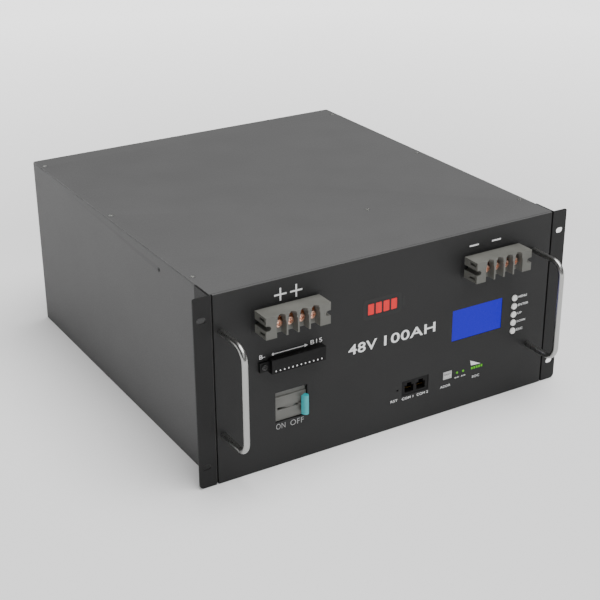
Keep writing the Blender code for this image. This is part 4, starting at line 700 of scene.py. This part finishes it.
def letters(words, x, z, weight=0.0):
    """The words as (points, faces), filling x[0]..x[1] by z[0]..z[1] on the panel."""
    curve = bpy.data.curves.new("letters", "FONT")
    curve.body = words
    curve.extrude = 0.05
    curve.offset = weight
    curve.resolution_u = 4
    curve.space_character = 1.06
    text = bpy.data.objects.new("letters", curve)
    bpy.context.scene.collection.objects.link(text)
    bpy.context.view_layer.update()
    shown = text.evaluated_get(bpy.context.evaluated_depsgraph_get())
    mesh = bpy.data.meshes.new_from_object(shown)
    flat = np.empty(len(mesh.vertices) * 3)
    mesh.vertices.foreach_get("co", flat)
    flat = flat.reshape(-1, 3)
    faces = [list(polygon.vertices) for polygon in mesh.polygons]
    bpy.data.objects.remove(text, do_unlink=True)
    share = (flat - flat.min(axis=0)) / np.ptp(flat, axis=0)
    across = x[0] + (x[1] - x[0]) * share[:, 0]
    up = z[0] + (z[1] - z[0]) * share[:, 1]
    return on_front(across, up, INK_BACK + (INK_FRONT - INK_BACK) * share[:, 2]), faces


def shape(outline):
    """An outline of points (x, z) as a film of ink."""
    return plate(outline, INK_FRONT, INK_BACK)


def bar(x, z):
    """A rectangle of ink."""
    return shape([(x[0], z[0]), (x[1], z[0]), (x[1], z[1]), (x[0], z[1])])


def printed(name, ink, *shapes):
    """One piece of print from several shapes."""
    points, faces = merge(*shapes)
    return piece_from(name, points, faces, ink, "case", 0)


def mm(*values):
    """Millimetres as an array in metres."""
    return np.array(values, float) * MM


# %% Polarity signs and the rating
arm, half = 7.3 * MM, 0.95 * MM
plus = [(half, half), (half, arm), (-half, arm), (-half, half), (-arm, half), (-arm, -half),
        (-half, -half), (-half, -arm), (half, -arm), (half, -half), (arm, -half), (arm, half)]
signs = [shape([(x + a, 201.6 * MM + b) for a, b in plus]) for x in mm(-141.4, -122.5)]
minus_z, minus_half = 202.0 * MM, 6.4 * MM
for x in mm(107.8, 139.0):
    signs.append(bar((x - minus_half, x + minus_half), (minus_z - half, minus_z + half)))
printed("print_polarity", ink_white, *signs)
rating_z, switch_z = mm(108.7, 120.9), mm(44.4, 51.0)
BOLD, THIN = 0.014, -0.006
printed("print_rating", ink_white, letters("48V", mm(-57.6, -20.6), rating_z, BOLD),
        letters("100AH", mm(-11.0, 58.4), rating_z, BOLD))
printed("print_switch", ink_grey, letters("ON", mm(-148.6, -137.2), switch_z, THIN),
        letters("OFF", mm(-131.0, -114.2), switch_z, THIN))
print("signs and rating printed")

# %% [markdown]
# A plain battery symbol stands in the middle of the panel: a black outline with a stud at its end
# and four red bars for its charge.
# %% Battery symbol
symbol = mm(-14, 157)
case_outline = rounded(50 * MM, 24 * MM, 4.5 * MM)
case_inner = rounded(43 * MM, 17 * MM, 2.2 * MM)


def frame_shape(outer, inner):
    """A flat ring between two outlines with the same number of points."""
    count = len(outer)
    lines = ((outer, INK_BACK), (outer, INK_FRONT), (inner, INK_FRONT), (inner, INK_BACK))
    rows = [on_front(line[:, 0], line[:, 1], np.full(count, depth)) for line, depth in lines]
    faces = []
    for row in range(4):
        here, there = row * count, (row + 1) % 4 * count
        faces += [[here + i, here + (i + 1) % count, there + (i + 1) % count, there + i]
                  for i in range(count)]
    return np.concatenate(rows), faces


printed("print_symbol_outline", ink_black,
        frame_shape(case_outline + symbol, case_inner + symbol),
        shape(rounded(3.6 * MM, 11 * MM, 1.4 * MM) + symbol + mm(27.8, 0)))
charge_bar = rounded(7.6 * MM, 12.6 * MM, 0.9 * MM) + symbol
printed("print_symbol_charge", ink_red,
        *[shape(charge_bar + mm(step, 0)) for step in (-15.0, -5.0, 5.0, 15.0)])
print("battery symbol printed")

# %% [markdown]
# Small legends name the connector, the keys and the row of sockets and lamps, in plain words.
# %% Small legends
FIRM = 0.01
arrow_dot = rounded(3 * MM, 3 * MM, 1.4 * MM) + mm(-151.0, 135.8)
arrow_head = mm(-112.9, 133.8, -108.6, 135.8, -112.9, 137.8).reshape(-1, 2)
small = [letters("B-", mm(-167.4, -160.6), mm(133.6, 138.4)),
         letters("B15", mm(-105.4, -91.0), mm(134.8, 139.8)),
         bar(mm(-151, -112), mm(135.4, 136.3)), shape(arrow_dot), shape(arrow_head)]
key_words = ("MENU", "ENTER", "UP", "DOWN", "ESC")
KEY_WORDS_X, LETTER_WIDTH, LETTER_HALF = 177.2 * MM, 3.1 * MM, 1.4 * MM
for number, word in enumerate(key_words, start=1):
    low, high = corners(f"menu_key_{number}")
    z = (low[2] + high[2]) / 2
    x = (KEY_WORDS_X, KEY_WORDS_X + LETTER_WIDTH * len(word))
    small.append(letters(word, x, (z - LETTER_HALF, z + LETTER_HALF), FIRM))
row_words = (("RST", -0.2, 9.2, 35.0), ("COM 1", 15.4, 31.0, 34.2), ("COM 2", 35.8, 51.6, 34.2),
             ("ADDR", 69.0, 83.4, 34.0), ("RUN", 89.4, 95.4, 41.0), ("ALM", 98.4, 104.4, 41.0),
             ("SOC", 114.6, 125.2, 35.4))
for word, left, right, z in row_words:
    tall = 1.5 if z < 40 else 0.9
    small.append(letters(word, mm(left, right), mm(z - tall, z + tall), FIRM))
charge_wedge = mm(111.1, 57.4, 112.3, 51.0, 126.4, 50.0).reshape(-1, 2)
small.append(shape(charge_wedge))
printed("print_small_legends", ink_white, *small)
prints = [piece for piece in bpy.data.objects if piece.name.startswith("print_")]
print("faces of print on the panel:", sum(len(piece.data.polygons) for piece in prints))

# %% [markdown]
# ## Studio
# The pack stands on a pale floor under a wide, even light from above, which makes the top the
# lightest face. A smaller softbox in front keeps the shape of the dark panel and puts bright lines
# on the handles. The floor gives off light further out, like a lit backdrop, so that it stays pale
# without throwing light back up the sides.
# %% Floor and light


def floor_disc(radius):
    """A ring of points and one face, on the ground."""
    count = 96
    angle = np.linspace(0, 2 * np.pi, count, endpoint=False)
    points = np.stack([radius * np.cos(angle), radius * np.sin(angle), np.zeros(count)], axis=-1)
    mesh = bpy.data.meshes.new("floor")
    mesh.from_pydata(points.tolist(), [], [list(range(count))])
    floor = bpy.data.objects.new("floor", mesh)
    bpy.context.scene.collection.objects.link(floor)
    return floor


FLOOR_RADIUS = 30.0
GLOW_FROM, GLOW_FULL = 0.6, 2.0
floor = floor_disc(FLOOR_RADIUS)
floor_paint, tree, shader, place = start("matt_white_floor", "#F8F8F8", 0.90)
dull = add(tree, "ShaderNodeMapRange", {0: grain(tree, place, 0.4), 1: LEAST, 2: MOST,
                                        3: 0.80, 4: 0.90})
tree.links.new(dull.outputs[0], shader.inputs["Roughness"])
reach = add(tree, "ShaderNodeVectorMath", {0: place}, operation="LENGTH").outputs["Value"]
shader.inputs["Emission Color"].default_value = linear("#FFFFFF")
glow = add(tree, "ShaderNodeMapRange", {0: reach, 1: GLOW_FROM, 2: GLOW_FULL})
tree.links.new(glow.outputs[0], shader.inputs["Emission Strength"])
dress(floor, floor_paint)

world = bpy.data.worlds.new("pale_surround")
bpy.context.scene.world = world
world.use_nodes = True
background = world.node_tree.nodes["Background"]
background.inputs["Color"].default_value = linear("#F7F7F7")
background.inputs["Strength"].default_value = 0.12


def studio_light(name, kind, place, size, power):
    """A lamp that faces the middle of the pack."""
    lamp = bpy.data.lights.new(name, kind)
    lamp.energy = power
    if kind == "AREA":
        lamp.size = size
    else:
        lamp.angle = size
    holder = bpy.data.objects.new(name, lamp)
    bpy.context.scene.collection.objects.link(holder)
    holder.location = place
    aim = Vector((cad_low + cad_high) / 2) - holder.location
    holder.rotation_euler = aim.to_track_quat("-Z", "Y").to_euler()


studio_light("overhead_light", "SUN", (0.5, -0.5, 3.0), math.radians(56), 4.6)
studio_light("front_softbox", "AREA", (-0.9, -2.4, 1.7), 1.0, 7)
print("lights:", [lamp.name for lamp in bpy.data.lights])

# %% [markdown]
# ## Camera
# The camera stands about 1.5 m away, to the left and above, with a lens that fills the frame.
# %% Camera
AZIMUTH, ELEVATION, ROLL = -30.98, 24.55, -0.34
SENSOR = 36
FOCAL = 822.5 / 600 * SENSOR * 1.6
camera_data = bpy.data.cameras.new("camera")
camera_data.sensor_width = SENSOR
camera_data.lens = FOCAL
camera = bpy.data.objects.new("camera", camera_data)
bpy.context.scene.collection.objects.link(camera)
camera.location = (-0.7542, float(panel_face) - 1.0596, 0.7542)
a, e = math.radians(AZIMUTH), math.radians(ELEVATION)
back = Vector((math.sin(a) * math.cos(e), -math.cos(a) * math.cos(e), math.sin(e)))
level = (-back).to_track_quat("-Z", "Y").to_matrix()
camera.rotation_euler = (level @ Matrix.Rotation(math.radians(ROLL), 3, "Z")).to_euler()
bpy.context.scene.camera = camera
print("lens", round(FOCAL, 1), "mm")
